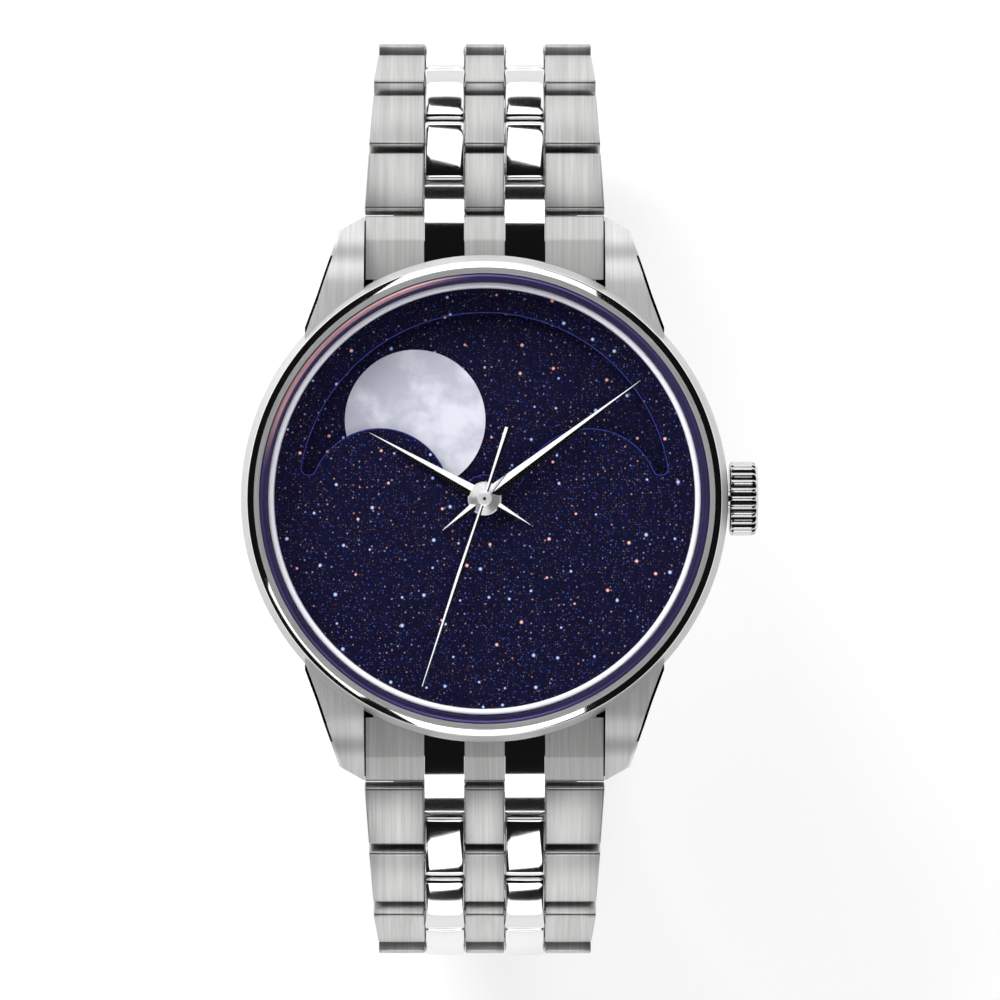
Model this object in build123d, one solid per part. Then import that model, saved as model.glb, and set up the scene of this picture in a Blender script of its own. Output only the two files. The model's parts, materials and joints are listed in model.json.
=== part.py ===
from build123d import *
import math
import os

os.makedirs("parts", exist_ok=True)

# A moon phase wristwatch on a closed steel bracelet, standing on its clasp with the dial up.
# X runs to the crown, Y to 12 o'clock and Z up; the origin is under the dial's centre on the
# clasp's flat underside. Sizes are millimetres, angles are degrees.

# Bracelet: five links across, two of them polished and set half a row further along
ROW_PITCH = 5.2
LINK_THICKNESS = 2.7
LINK_GAP = 0.1
LINK_SIDE_GAP = 0.06
LINK_TOP_ROUND = 0.32
POLISHED_TOP_ROUND = 0.5
POLISHED_END_DROP = 0.2
POLISHED_CROWN_RISE = 0.11
POLISHED_CROWN_RADIUS = 12.0
LINK_UNDER_ROUND = 0.5
BRACELET_WIDTH = 19.9
BRACELET_END_WIDTH = 16.0
ROW_NARROWING_WIDTH = 0.69
CENTRE_LINK_WIDTH = 3.3
POLISHED_LINK_WIDTH = 3.3
LINK_PIN_DIAMETER = 1.0
PIN_CLEARANCE = 0.04
PIN_INSET = 0.35
ROW_SLOPES = (14, 30, 60, 90, 115, 138, 158, 172, 180)

# Head
CASE_DIAMETER = 40.5
CASE_HEIGHT = 7.0
CASE_FOOT_INSET = 1.55
CASE_FOOT_RISE = 1.6
CASE_SHOULDER_DROP = 1.1
CASE_BORE_DIAMETER = 34.4
DIAL_BORE_DIAMETER = 36.9
SPRING_BAR_REACH = 21.6
SPRING_BAR_DIAMETER = 1.5
SPRING_BAR_TIP_DIAMETER = 0.8
SPRING_BAR_TIP_LENGTH = 0.9
BAR_ABOVE_CASE_FOOT = 1.4
LUG_GAP = 20.06
LUG_BEYOND_BAR = 1.95
LUG_TIP_SLANT = 1.2
LUG_TIP_HALF_WIDTH = 12.1
LUG_ROOT_REACH = 14.2
LUG_ROOT_HALF_WIDTH = 14.9
LUG_WAIST_REACH = 16.9
LUG_WAIST_HALF_WIDTH = 13.9
LUG_START = 11.0
LUG_TOP_DROP = 0.35
LUG_KNEE_BEFORE_BAR = 2.6
LUG_KNEE_DROP = 0.8
LUG_KNEE_ROUND = 4.0
LUG_TIP_RISE = 2.6
LUG_TIP_SINK = 0.5
LUG_TIP_ROUND = 0.4
HINGE_BEYOND_BAR = 3.45
END_LINK_BACK_RISE = 1.1
END_LINK_KNEE_RISE = 0.7
END_LINK_CROWN_BACK_RISE = 0.55
END_LINK_CROWN_KNEE_RISE = 0.3
END_LINK_CROWN_END_DROP = 1.0
END_LINK_CROWN_RADIUS = 8.0
END_LINK_GROOVE_DEPTH = 0.3
FIT = 0.05

# Bezel, crystal and dial
BEZEL_HEIGHT = 1.7
BEZEL_DIAMETER = 39.3
BEZEL_WALL_HEIGHT = 1.5
BEZEL_LAND_DIAMETER = 38.2
BEZEL_MOUTH_DIAMETER = 37.24
BEZEL_SHELF_DIAMETER = 36.0
BEZEL_SHELF_HEIGHT = 0.7
BEZEL_EDGE_ROUND = 0.5
CRYSTAL_DIAMETER = 36.7
CRYSTAL_EDGE = 1.3
CRYSTAL_CHAMFER = 0.3
CRYSTAL_DOME = 0.3
FLANGE_SLOPE_WIDTH = 0.5
DIAL_DEPTH = 2.2
DIAL_THICKNESS = 0.6
DIAL_DIAMETER = 36.6
DIAL_HOLE_DIAMETER = 2.4
APERTURE_DIAMETER = 30.8
APERTURE_END_HEIGHT = 2.0
APERTURE_END_ROUND = 0.5
APERTURE_NOTCH_HEIGHT = 1.3
HUB_ARCH_DIAMETER = 4.0
MOON_DIAMETER = 11.7
MOON_ORBIT = 8.72
MOON_ANGLE = -41.5
MOON_PLATE_THICKNESS = 0.15
MOON_DISC_DIAMETER = 32.2
MOON_DISC_THICKNESS = 0.4
MOON_DISC_BELOW_DIAL = 0.4
MOON_DISC_CLEARANCE = 0.1

# Hands: lengths from the centre, angles clockwise from 12 o'clock
HOUR_LENGTH = 11.0
HOUR_ANGLE = 299.8
MINUTE_LENGTH = 16.2
MINUTE_ANGLE = 52.9
HAND_TAIL = 4.4
HAND_WIDTH = 1.15
HAND_WIDEST_AT = 1.0
HAND_HEIGHT = 0.4
HAND_EDGE = 0.1
HAND_GAP = 0.2
HOUR_HUB_DIAMETER = 2.8
MINUTE_HUB_DIAMETER = 2.55
SECONDS_LENGTH = 16.4
SECONDS_TAIL = 6.2
SECONDS_ANGLE = 198.3
SECONDS_TAIL_WIDTH = 0.5
SECONDS_WIDEST = 0.4
SECONDS_WAIST = 0.24
SECONDS_TIP_WIDTH = 0.1
SECONDS_WIDEST_SHARE = 0.4
SECONDS_HEIGHT = 0.3
SECONDS_HUB_DIAMETER = 1.2
HAND_ABOVE_DIAL = 0.4
HOUR_TUBE_DIAMETER = 2.0
HOUR_TUBE_BORE = 1.4
CANNON_DIAMETER = 1.2
CANNON_BORE = 0.6
SECONDS_ARBOR_DIAMETER = 0.4

# Crown
CROWN_DIAMETER = 6.2
CROWN_START = 20.4
CROWN_LENGTH = 2.4
CROWN_CHAMFER = 0.3
CROWN_FLUTES = 26
CROWN_FLUTE_DIAMETER = 0.44
CROWN_BORE_DIAMETER = 2.7
CROWN_BORE_DEPTH = 1.5
CROWN_TUBE_DIAMETER = 2.5
CROWN_TUBE_END = 21.3
STEM_DIAMETER = 1.0
STEM_CLEARANCE = 0.1
STEM_INNER_END = 5.0
STEM_BELOW_PLATE_TOP = 0.7
WINDING_PINION_DIAMETER = 1.6
WINDING_PINION_START = 11.0
WINDING_PINION_LENGTH = 1.2

# Case back
BACK_HEIGHT = 1.2
BACK_DIAMETER = 35.8
BACK_CHAMFER = 0.4
BACK_SPIGOT_HEIGHT = 1.0
BACK_WINDOW_DIAMETER = 24.6
BACK_CRYSTAL_DIAMETER = 26.3
BACK_CRYSTAL_THICKNESS = 0.7
BACK_LIP = 0.27
BACK_NOTCHES = 6
BACK_NOTCH_WIDTH = 2.2
BACK_NOTCH_LENGTH = 1.0
BACK_NOTCH_DEPTH = 0.5
BACK_NOTCH_REACH = 16.6
GASKET_WIDTH = 0.4
GASKET_HEIGHT = 0.4

# Movement
MOVEMENT_DIAMETER = 30.1
PLATE_THICKNESS = 1.0
PLATE_BELOW_DISC = 0.3
TRAIN_GAP = 1.3
BRIDGE_THICKNESS = 0.7
ROTOR_THICKNESS = 0.6
ROTOR_GAP = 0.15
ROTOR_DIAMETER = 29.8
ROTOR_RIM_WIDTH = 2.6
ROTOR_HUB_DIAMETER = 5.0
ROTOR_POST_DIAMETER = 1.8
WHEEL_THICKNESS = 0.15
WHEEL_RIM = 0.35
TOOTH_HEIGHT = 0.16
SHAFT_DIAMETER = 0.4
PINION_HEIGHT = 0.25
MESH_CLEARANCE = 0.05
SHAFT_CLEARANCE = 0.05
HOUR_WHEEL_DIAMETER = 7.2
FOURTH_WHEEL_DIAMETER = 5.2
THIRD_WHEEL_DIAMETER = 7.2
ESCAPE_WHEEL_DIAMETER = 4.6
PINION_DIAMETER = 0.95
BARREL_DIAMETER = 10.4
BARREL_HEIGHT = 1.0
BARREL_REACH = 9.4
BARREL_ANGLE = 219
THIRD_WHEEL_ANGLE = 60
ESCAPE_WHEEL_ANGLE = -60
BALANCE_DIAMETER = 9.0
BALANCE_RIM = 0.6
BALANCE_HEIGHT = 0.3
BALANCE_REACH = 10.2
BALANCE_ANGLE = -57
BALANCE_WINDOW_DIAMETER = 10.6
COCK_WIDTH = 3.4
COCK_END_DIAMETER = 3.0
HOUR_WHEEL_TEETH = 48
CANNON_TEETH = 12
FOURTH_WHEEL_TEETH = 40
THIRD_WHEEL_TEETH = 54
ESCAPE_WHEEL_TEETH = 20
BARREL_TEETH = 72
WHEEL_SPOKES = 4
TOOTH_SHARES = (0, 1 / 3, 1 / 2, 5 / 6)
PALLET_LENGTH = 3.0
PALLET_WIDTH = 0.5
PALLET_BACK_SHARE = 1 / 4
PILLAR_DIAMETER = 2.0
PILLAR_REACH = 12.7
PILLAR_ANGLES = (28, 100, 158, 266)
SCREW_HEAD_DIAMETER = 1.5
SCREW_HEAD_HEIGHT = 0.3
SCREW_DIAMETER = 0.8
SCREW_LENGTH = 1.4
SCREW_SLOT_WIDTH = 0.2
SCREW_SLOT_DEPTH = 0.15

# Clasp: a cover on two folding blades
CLASP_PIVOT_HEIGHT = 2.2
BLADE_THICKNESS = 0.8
BLADE_WIDTH = 13.2
BLADE_STEP = 0.2
COVER_PLATE = 0.9
COVER_WALL = 1.0
COVER_WALL_HEIGHT = 2.9
COVER_TAIL_ROUND = 1.0
COVER_TAIL_GAP = 0.45
FRONT_PIVOT_INSET = 5.97
REAR_PIVOT_INSET = 2.97
REAR_PIVOT_HEIGHT = 1.15
REAR_KNUCKLE_DIAMETER = 1.7
FRONT_KNUCKLE_DIAMETER = 1.8
CENTRE_KNUCKLE_WIDTH = 5.0
CLASP_PIN_DIAMETER = 0.7
KNUCKLE_GAP = 0.1
BUTTON_LENGTH = 4.4
BUTTON_HEIGHT = 1.5
BUTTON_PROUD = 0.7
BUTTON_TRAVEL = 0.5
BUTTON_STEM = 0.9
BUTTON_REACH = 4.0
BUTTON_ROUND = 0.5
BUTTON_CLEARANCE = 0.06

# One overrun serves every cut
OVERRUN = 2.0
TINY = 0.0001

# Levels and places worked out from the sizes above
HALF_LINK = LINK_THICKNESS / 2
LINK_LENGTH = ROW_PITCH - HALF_LINK - LINK_GAP
CASE_FOOT_DIAMETER = CASE_DIAMETER - 2 * CASE_FOOT_INSET
LUG_TIP_REACH = SPRING_BAR_REACH + LUG_BEYOND_BAR
LUG_CORNER_REACH = LUG_TIP_REACH - LUG_TIP_SLANT
LUG_KNEE_REACH = SPRING_BAR_REACH - LUG_KNEE_BEFORE_BAR
BRACELET_HINGE_REACH = SPRING_BAR_REACH + HINGE_BEYOND_BAR
FLANGE_TOP_DIAMETER = BEZEL_SHELF_DIAMETER - 2 * FIT
FLANGE_FOOT_DIAMETER = FLANGE_TOP_DIAMETER - 2 * FLANGE_SLOPE_WIDTH
DROP = ROW_PITCH * sum(math.sin(math.radians(a)) for a in ROW_SLOPES)
RUN = ROW_PITCH * sum(math.cos(math.radians(a)) for a in ROW_SLOPES)
BAR_Z = CLASP_PIVOT_HEIGHT + DROP
CLASP_Y = BRACELET_HINGE_REACH + RUN
CASE_FOOT = BAR_Z - BAR_ABOVE_CASE_FOOT
CASE_TOP = CASE_FOOT + CASE_HEIGHT
BEZEL_TOP = CASE_TOP + BEZEL_HEIGHT
CRYSTAL_BOTTOM = CASE_TOP + BEZEL_SHELF_HEIGHT
BACK_BOTTOM = CASE_FOOT - BACK_HEIGHT
BACK_TOP = CASE_FOOT + BACK_SPIGOT_HEIGHT
BACK_CRYSTAL_Z = BACK_BOTTOM + BACK_LIP
BACK_CRYSTAL_TOP = BACK_CRYSTAL_Z + BACK_CRYSTAL_THICKNESS
DIAL_SEAT = CASE_TOP - DIAL_DEPTH
DIAL_TOP = DIAL_SEAT + DIAL_THICKNESS
DISC_TOP = DIAL_SEAT - MOON_DISC_BELOW_DIAL
DISC_BOTTOM = DISC_TOP - MOON_DISC_THICKNESS
PLATE_TOP = DISC_BOTTOM - PLATE_BELOW_DISC
PLATE_BOTTOM = PLATE_TOP - PLATE_THICKNESS
BRIDGE_TOP = PLATE_BOTTOM - TRAIN_GAP
BRIDGE_BOTTOM = BRIDGE_TOP - BRIDGE_THICKNESS
ROTOR_TOP = BRIDGE_BOTTOM - ROTOR_GAP
ROTOR_BOTTOM = ROTOR_TOP - ROTOR_THICKNESS
STEM_Z = PLATE_TOP - STEM_BELOW_PLATE_TOP
HOUR_Z = DIAL_TOP + HAND_ABOVE_DIAL
MINUTE_Z = HOUR_Z + HAND_HEIGHT + HAND_GAP
SECONDS_Z = MINUTE_Z + HAND_HEIGHT + HAND_GAP
COLUMN_INNER = CENTRE_LINK_WIDTH / 2
COLUMN_OUTER = COLUMN_INNER + POLISHED_LINK_WIDTH + 2 * LINK_SIDE_GAP
FRONT_PIVOT_Y = FRONT_PIVOT_INSET - CLASP_Y
REAR_PIVOT_Y = CLASP_Y - REAR_PIVOT_INSET
INNER_BLADE_Z = CLASP_PIVOT_HEIGHT - LINK_GAP
MIDDLE_BLADE_Z = INNER_BLADE_Z - BLADE_STEP - BLADE_THICKNESS
FRONT_PIVOT_Z = INNER_BLADE_Z - BLADE_STEP / 2
COVER_TAIL_Y = HALF_LINK + COVER_TAIL_GAP - CLASP_Y
COVER_HEEL_Y = REAR_PIVOT_Y + REAR_PIVOT_HEIGHT
HALF_COVER = BRACELET_END_WIDTH / 2

NODES = {}


def keep(name, *shapes):
    """Files the solids of one piece, or of a group of like pieces, under its name."""
    NODES[name] = [solid for shape in shapes for solid in shape.solids()]


def rounded_face(corners):
    """Flat face through (a, b, radius) corners, with each corner rounded by its own radius."""
    points = [Vector(a, b) for a, b, _ in corners]
    arcs = []
    for i, here in enumerate(points):
        before = (points[i - 1] - here).normalized()
        after = (points[(i + 1) % len(points)] - here).normalized()
        radius = corners[i][2]
        half = math.radians(before.get_angle(after)) / 2
        reach = radius / math.tan(half)
        middle = here + (before + after).normalized() * (radius / math.sin(half) - radius)
        arcs.append((here + before * reach, middle, here + after * reach, radius))
    edges = []
    for i, (start, middle, end, radius) in enumerate(arcs):
        if radius > 0:
            edges.append(ThreePointArc(start, middle, end))
        following = arcs[(i + 1) % len(arcs)][0]
        if (following - end).length > TINY:
            edges.append(Line(end, following))
    return make_face(edges)


def turned(corners):
    """Ring or disc turned about Z from (radius, height, rounding) corners."""
    return revolve(Plane.XZ * rounded_face(corners), Axis.Z)


def across(corners, x0, x1):
    """Bar along X from a (y, z, rounding) section."""
    return extrude(Plane.YZ.offset(x0) * rounded_face(corners), x1 - x0)


def plate(face, z0, z1):
    """Flat plate from an outline seen from above."""
    return extrude(Plane.XY.offset(z0) * face, z1 - z0)


def disc(diameter, z0, z1, x=0, y=0):
    """Upright cylinder."""
    return Pos(x, y, (z0 + z1) / 2) * Cylinder(diameter / 2, z1 - z0)


def ring(outer, inner, z0, z1, x=0, y=0):
    """Upright tube."""
    return disc(outer, z0, z1, x, y) - disc(inner, z0 - OVERRUN, z1 + OVERRUN, x, y)


def rod(diameter, x0, x1, y=0, z=0):
    """Cylinder along X."""
    return Pos((x0 + x1) / 2, y, z) * Rot(0, 90, 0) * Cylinder(diameter / 2, x1 - x0)


def block(x0, x1, y0, y1, z0, z1):
    """Box between two corners."""
    return Pos((x0 + x1) / 2, (y0 + y1) / 2, (z0 + z1) / 2) * Box(x1 - x0, y1 - y0, z1 - z0)


def polar(reach, degrees):
    """Point at a distance from the centre and an angle from X towards Y."""
    return reach * math.cos(math.radians(degrees)), reach * math.sin(math.radians(degrees))


def both_sides(shape):
    """A piece at plus X with its mirror at minus X."""
    return [shape, mirror(shape, Plane.YZ)]


def half_width(rows):
    """Half the bracelet's width at a number of rows from the case."""
    return max(BRACELET_WIDTH - ROW_NARROWING_WIDTH * rows, BRACELET_END_WIDTH) / 2


def link_bar(corners, x0, x1, holes):
    """One link with its pin holes: a list of (place along the row, diameter)."""
    body = across(corners, x0, x1)
    for along, diameter in holes:
        body -= rod(diameter, x0 - OVERRUN, x1 + OVERRUN, along)
    return body


def brushed_section():
    """Side view of a centre or outer link: its front turns about the row's own hinge."""
    return [
        (-HALF_LINK, -HALF_LINK, HALF_LINK),
        (LINK_LENGTH, -HALF_LINK, LINK_UNDER_ROUND),
        (LINK_LENGTH, HALF_LINK, LINK_TOP_ROUND),
        (-HALF_LINK, HALF_LINK, LINK_TOP_ROUND),
    ]


def polished_section():
    """Side view of a polished link: its rear turns about the next row's hinge, its top is crowned."""
    front = HALF_LINK + LINK_GAP
    rear = ROW_PITCH + HALF_LINK
    ends = HALF_LINK - POLISHED_END_DROP
    return [
        (front, -HALF_LINK, LINK_UNDER_ROUND),
        (rear, -HALF_LINK, HALF_LINK),
        (rear, ends, POLISHED_TOP_ROUND),
        ((front + rear) / 2, HALF_LINK + POLISHED_CROWN_RISE, POLISHED_CROWN_RADIUS),
        (front, ends, POLISHED_TOP_ROUND),
    ]


def link_row(row, closing_pin):
    """Three brushed and two polished links with their pins, front hinge at the origin."""
    fixed = [(0, LINK_PIN_DIAMETER), (ROW_PITCH / 2, LINK_PIN_DIAMETER)]
    loose = LINK_PIN_DIAMETER + 2 * PIN_CLEARANCE
    rear = LINK_PIN_DIAMETER if closing_pin else loose
    centre = link_bar(brushed_section(), -COLUMN_INNER, COLUMN_INNER, fixed)
    outer = link_bar(brushed_section(), COLUMN_OUTER, BRACELET_WIDTH, fixed)
    front = half_width(row - HALF_LINK / ROW_PITCH)
    back = half_width(row + LINK_LENGTH / ROW_PITCH)
    tapered = rounded_face([
        (-OVERRUN, -HALF_LINK, 0),
        (front, -HALF_LINK, 0),
        (back, LINK_LENGTH, 0),
        (-OVERRUN, LINK_LENGTH, 0),
    ])
    outer &= plate(tapered, -LINK_THICKNESS, LINK_THICKNESS)
    polished = link_bar(
        polished_section(),
        COLUMN_INNER + LINK_SIDE_GAP,
        COLUMN_OUTER - LINK_SIDE_GAP,
        [(ROW_PITCH / 2, LINK_PIN_DIAMETER), (ROW_PITCH, rear)],
    )
    ends = [half_width(row) - PIN_INSET, half_width(row + 1 / 2) - PIN_INSET]
    pins = [rod(LINK_PIN_DIAMETER, -ends[0], ends[0])]
    pins.append(rod(LINK_PIN_DIAMETER, -ends[1], ends[1], ROW_PITCH / 2))
    if closing_pin:
        pins.append(rod(LINK_PIN_DIAMETER, -COLUMN_OUTER, COLUMN_OUTER, ROW_PITCH))
    return [centre, *both_sides(outer), *both_sides(polished), *pins]


def bracelet():
    """Nine rows on each side, each turned to its slope round the wrist."""
    y = BRACELET_HINGE_REACH
    z = BAR_Z
    last = len(ROW_SLOPES)
    for number, slope in enumerate(ROW_SLOPES, 1):
        place = Pos(0, y, z) * Rot(-slope, 0, 0)
        other = Rot(0, 0, 180) * place
        keep(f"link_row_12_{number}", *[place * piece for piece in link_row(number - 1, False)])
        links = link_row(number - 1, number == last)
        keep(f"link_row_6_{number}", *[other * piece for piece in links])
        y += ROW_PITCH * math.cos(math.radians(slope))
        z -= ROW_PITCH * math.sin(math.radians(slope))


def end_link_section(sink):
    """Side view of an end link's brushed faces, lowered by a named depth."""
    top = BAR_Z + HALF_LINK - sink
    rear = BRACELET_HINGE_REACH - HALF_LINK - LINK_GAP
    return [
        (CASE_DIAMETER / 2 - OVERRUN, BAR_Z - HALF_LINK, 0),
        (rear, BAR_Z - HALF_LINK, LINK_UNDER_ROUND),
        (rear, top, LINK_TOP_ROUND),
        (SPRING_BAR_REACH, top + END_LINK_KNEE_RISE, HALF_LINK),
        (CASE_DIAMETER / 2 - OVERRUN, top + END_LINK_BACK_RISE, 0),
    ]


def end_link_crown():
    """Side view of an end link's polished column, crowned down to the first hinge."""
    top = BAR_Z + HALF_LINK
    end = BRACELET_HINGE_REACH + HALF_LINK
    return [
        (CASE_DIAMETER / 2 - OVERRUN, BAR_Z - HALF_LINK, 0),
        (end, BAR_Z - HALF_LINK, HALF_LINK),
        (end, top - END_LINK_CROWN_END_DROP, POLISHED_TOP_ROUND),
        (BRACELET_HINGE_REACH - HALF_LINK, top + END_LINK_CROWN_KNEE_RISE, END_LINK_CROWN_RADIUS),
        (CASE_DIAMETER / 2 - OVERRUN, top + END_LINK_CROWN_BACK_RISE, 0),
    ]


def end_link():
    """Piece that fills the gap between two lugs and carries the bracelet's first hinge."""
    body = across(end_link_section(END_LINK_GROOVE_DEPTH), -BRACELET_WIDTH / 2, BRACELET_WIDTH / 2)
    body += across(end_link_section(0), -BRACELET_WIDTH / 2, -COLUMN_OUTER)
    body += across(end_link_section(0), COLUMN_OUTER, BRACELET_WIDTH / 2)
    body += across(end_link_section(0), -COLUMN_INNER, COLUMN_INNER)
    for x0, x1 in ((COLUMN_INNER, COLUMN_OUTER), (-COLUMN_OUTER, -COLUMN_INNER)):
        column = block(x0, x1, 0, BRACELET_HINGE_REACH + OVERRUN, BAR_Z - HALF_LINK, CASE_TOP)
        body -= column
        body += across(end_link_crown(), x0 + LINK_SIDE_GAP, x1 - LINK_SIDE_GAP)
    body += across(end_link_section(2 * END_LINK_GROOVE_DEPTH), -COLUMN_OUTER, COLUMN_OUTER)
    body -= disc(CASE_DIAMETER + 2 * FIT, 0, CASE_TOP + OVERRUN)
    wide = BRACELET_WIDTH
    body -= rod(LINK_PIN_DIAMETER + 2 * PIN_CLEARANCE, -wide, wide, BRACELET_HINGE_REACH, BAR_Z)
    body -= rod(SPRING_BAR_DIAMETER, -wide, wide, SPRING_BAR_REACH, BAR_Z)
    return body


def lug():
    """One lug at plus X, 12 o'clock: its plan crossed with its side view."""
    plan = rounded_face([
        (LUG_GAP / 2, LUG_START, 0),
        (LUG_ROOT_HALF_WIDTH, LUG_START, 0),
        (LUG_ROOT_HALF_WIDTH, LUG_ROOT_REACH, 0),
        (LUG_WAIST_HALF_WIDTH, LUG_WAIST_REACH, 0),
        (LUG_TIP_HALF_WIDTH, LUG_CORNER_REACH, LUG_TIP_ROUND / 2),
        (LUG_GAP / 2, LUG_TIP_REACH, 0),
    ])
    side = [
        (LUG_START, CASE_FOOT + LUG_TIP_ROUND, 0),
        (LUG_KNEE_REACH, CASE_FOOT + LUG_TIP_ROUND, LUG_KNEE_ROUND),
        (LUG_TIP_REACH, CASE_FOOT - LUG_TIP_SINK, LUG_TIP_ROUND),
        (LUG_TIP_REACH, CASE_FOOT + LUG_TIP_RISE, LUG_TIP_ROUND),
        (LUG_KNEE_REACH, CASE_TOP - LUG_KNEE_DROP, LUG_KNEE_ROUND),
        (LUG_START, CASE_TOP - LUG_TOP_DROP, 0),
    ]
    return plate(plan, 0, CASE_TOP) & across(side, 0, CASE_DIAMETER)


def middle_case():
    """Case band with four lugs, its bores, and the holes for the crown and spring bars."""
    radius = CASE_DIAMETER / 2
    band = turned([
        (CASE_BORE_DIAMETER / 2, CASE_FOOT, 0),
        (CASE_FOOT_DIAMETER / 2, CASE_FOOT, 0),
        (radius, CASE_FOOT + CASE_FOOT_RISE, CASE_FOOT_RISE),
        (radius, CASE_TOP - CASE_SHOULDER_DROP, CASE_SHOULDER_DROP),
        (BEZEL_DIAMETER / 2, CASE_TOP, 0),
        (DIAL_BORE_DIAMETER / 2, CASE_TOP, 0),
        (DIAL_BORE_DIAMETER / 2, DIAL_SEAT, 0),
        (CASE_BORE_DIAMETER / 2, DIAL_SEAT, 0),
    ])
    right = lug()
    lugs = [right, mirror(right, Plane.XZ)]
    lugs += [mirror(piece, Plane.YZ) for piece in lugs]
    inside = disc(DIAL_BORE_DIAMETER + OVERRUN, 0, BEZEL_TOP)
    body = band
    for piece in lugs:
        body += piece - inside
    body -= rod(CROWN_TUBE_DIAMETER, 0, radius + OVERRUN, 0, STEM_Z)
    tips = LUG_GAP / 2 + SPRING_BAR_TIP_LENGTH + FIT
    for y in (SPRING_BAR_REACH, -SPRING_BAR_REACH):
        body -= rod(SPRING_BAR_TIP_DIAMETER, -tips, tips, y, BAR_Z)
    groove_outer = BACK_DIAMETER - GASKET_WIDTH / 2
    groove_inner = groove_outer - 2 * GASKET_WIDTH
    body -= ring(groove_outer, groove_inner, CASE_FOOT - OVERRUN, CASE_FOOT + GASKET_HEIGHT)
    keep("back_gasket", ring(groove_outer, groove_inner, CASE_FOOT, CASE_FOOT + GASKET_HEIGHT))
    keep("middle_case", body)


def spring_bars():
    """Two sprung bars between the lugs, thinner at their tips."""
    length = LUG_GAP / 2
    tip = length + SPRING_BAR_TIP_LENGTH
    bars = []
    for y in (SPRING_BAR_REACH, -SPRING_BAR_REACH):
        body = BRACELET_WIDTH / 2
        bar = rod(SPRING_BAR_DIAMETER, -body, body, y, BAR_Z)
        bars.append(bar + rod(SPRING_BAR_TIP_DIAMETER, -tip, tip, y, BAR_Z))
    keep("lug_spring_bars", *bars)


def bezel_and_crystal():
    """Polished bezel, its seal, the domed crystal, and the bright flange round the dial."""
    land = BEZEL_LAND_DIAMETER / 2
    mouth = BEZEL_MOUTH_DIAMETER / 2
    shelf = BEZEL_SHELF_DIAMETER / 2
    keep("bezel", turned([
        (shelf, CASE_TOP, 0),
        (BEZEL_DIAMETER / 2, CASE_TOP, 0),
        (BEZEL_DIAMETER / 2, CASE_TOP + BEZEL_WALL_HEIGHT, BEZEL_EDGE_ROUND / 2),
        (land, BEZEL_TOP, BEZEL_EDGE_ROUND / 2),
        (mouth, BEZEL_TOP, 0),
        (mouth, CRYSTAL_BOTTOM, 0),
        (shelf, CRYSTAL_BOTTOM, 0),
    ]))
    radius = CRYSTAL_DIAMETER / 2
    edge = CRYSTAL_BOTTOM + CRYSTAL_EDGE
    glass = turned([
        (0, CRYSTAL_BOTTOM, 0),
        (radius, CRYSTAL_BOTTOM, 0),
        (radius, edge - CRYSTAL_CHAMFER, 0),
        (radius - CRYSTAL_CHAMFER, edge, 0),
        (radius - CRYSTAL_CHAMFER, edge + CRYSTAL_DOME, 0),
        (0, edge + CRYSTAL_DOME, 0),
    ])
    flat = radius - CRYSTAL_CHAMFER
    curve = (flat**2 + CRYSTAL_DOME**2) / (2 * CRYSTAL_DOME)
    glass &= Pos(0, 0, edge + CRYSTAL_DOME - curve) * Sphere(curve)
    keep("crystal", glass)
    seal = ring(BEZEL_MOUTH_DIAMETER, CRYSTAL_DIAMETER, CRYSTAL_BOTTOM, BEZEL_TOP - FIT)
    keep("crystal_gasket", seal)
    keep("dial_flange", turned([
        (FLANGE_FOOT_DIAMETER / 2, DIAL_TOP, 0),
        (DIAL_BORE_DIAMETER / 2 - FIT, DIAL_TOP, 0),
        (DIAL_BORE_DIAMETER / 2 - FIT, CASE_TOP, 0),
        (FLANGE_TOP_DIAMETER / 2, CASE_TOP, 0),
    ]))


def dial():
    """Dial with the two-humped moon aperture."""
    far = APERTURE_DIAMETER
    opening = Circle(APERTURE_DIAMETER / 2)
    opening -= Pos(-MOON_ORBIT, 0) * Circle(MOON_DIAMETER / 2)
    opening -= Pos(MOON_ORBIT, 0) * Circle(MOON_DIAMETER / 2)
    opening -= Circle(HUB_ARCH_DIAMETER / 2)
    opening -= Pos(0, APERTURE_NOTCH_HEIGHT - far / 2) * Rectangle(2 * MOON_ORBIT, far)
    for side in (-1, 1):
        low = Pos(side * (MOON_ORBIT + far / 2), APERTURE_END_HEIGHT - far / 2)
        opening -= low * Rectangle(far, far)
    ends = [v for v in opening.vertices() if abs(v.X) > MOON_ORBIT]
    opening = fillet(ends, APERTURE_END_ROUND)
    body = disc(DIAL_DIAMETER, DIAL_SEAT, DIAL_TOP)
    body -= plate(opening, DIAL_SEAT - OVERRUN, DIAL_TOP + OVERRUN)
    body -= disc(DIAL_HOLE_DIAMETER, DIAL_SEAT - OVERRUN, DIAL_TOP + OVERRUN)
    keep("dial", body)


def moons():
    """Disc under the dial with two moons on it."""
    bore = HOUR_TUBE_DIAMETER + 2 * MOON_DISC_CLEARANCE
    keep("moon_disc", ring(MOON_DISC_DIAMETER, bore, DISC_BOTTOM, DISC_TOP))
    x = MOON_ORBIT * math.sin(math.radians(MOON_ANGLE))
    y = MOON_ORBIT * math.cos(math.radians(MOON_ANGLE))
    top = DISC_TOP + MOON_PLATE_THICKNESS
    first = disc(MOON_DIAMETER, DISC_TOP, top, x, y)
    second = disc(MOON_DIAMETER, DISC_TOP, top, -x, -y)
    keep("moon_plates", first, second)


def faceted(outline, width, height, z):
    """Blade from an outline pointing to Y, sloping from a ridge down to both edges."""
    body = plate(outline, z, z + height)
    slope = math.atan2(height - HAND_EDGE, width / 2)
    for side in (-1, 1):
        normal = (side * math.sin(slope), 0, math.cos(slope))
        body = split(body, Plane((0, 0, z + height), (0, 1, 0), normal), Keep.BOTTOM)
    return body


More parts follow.
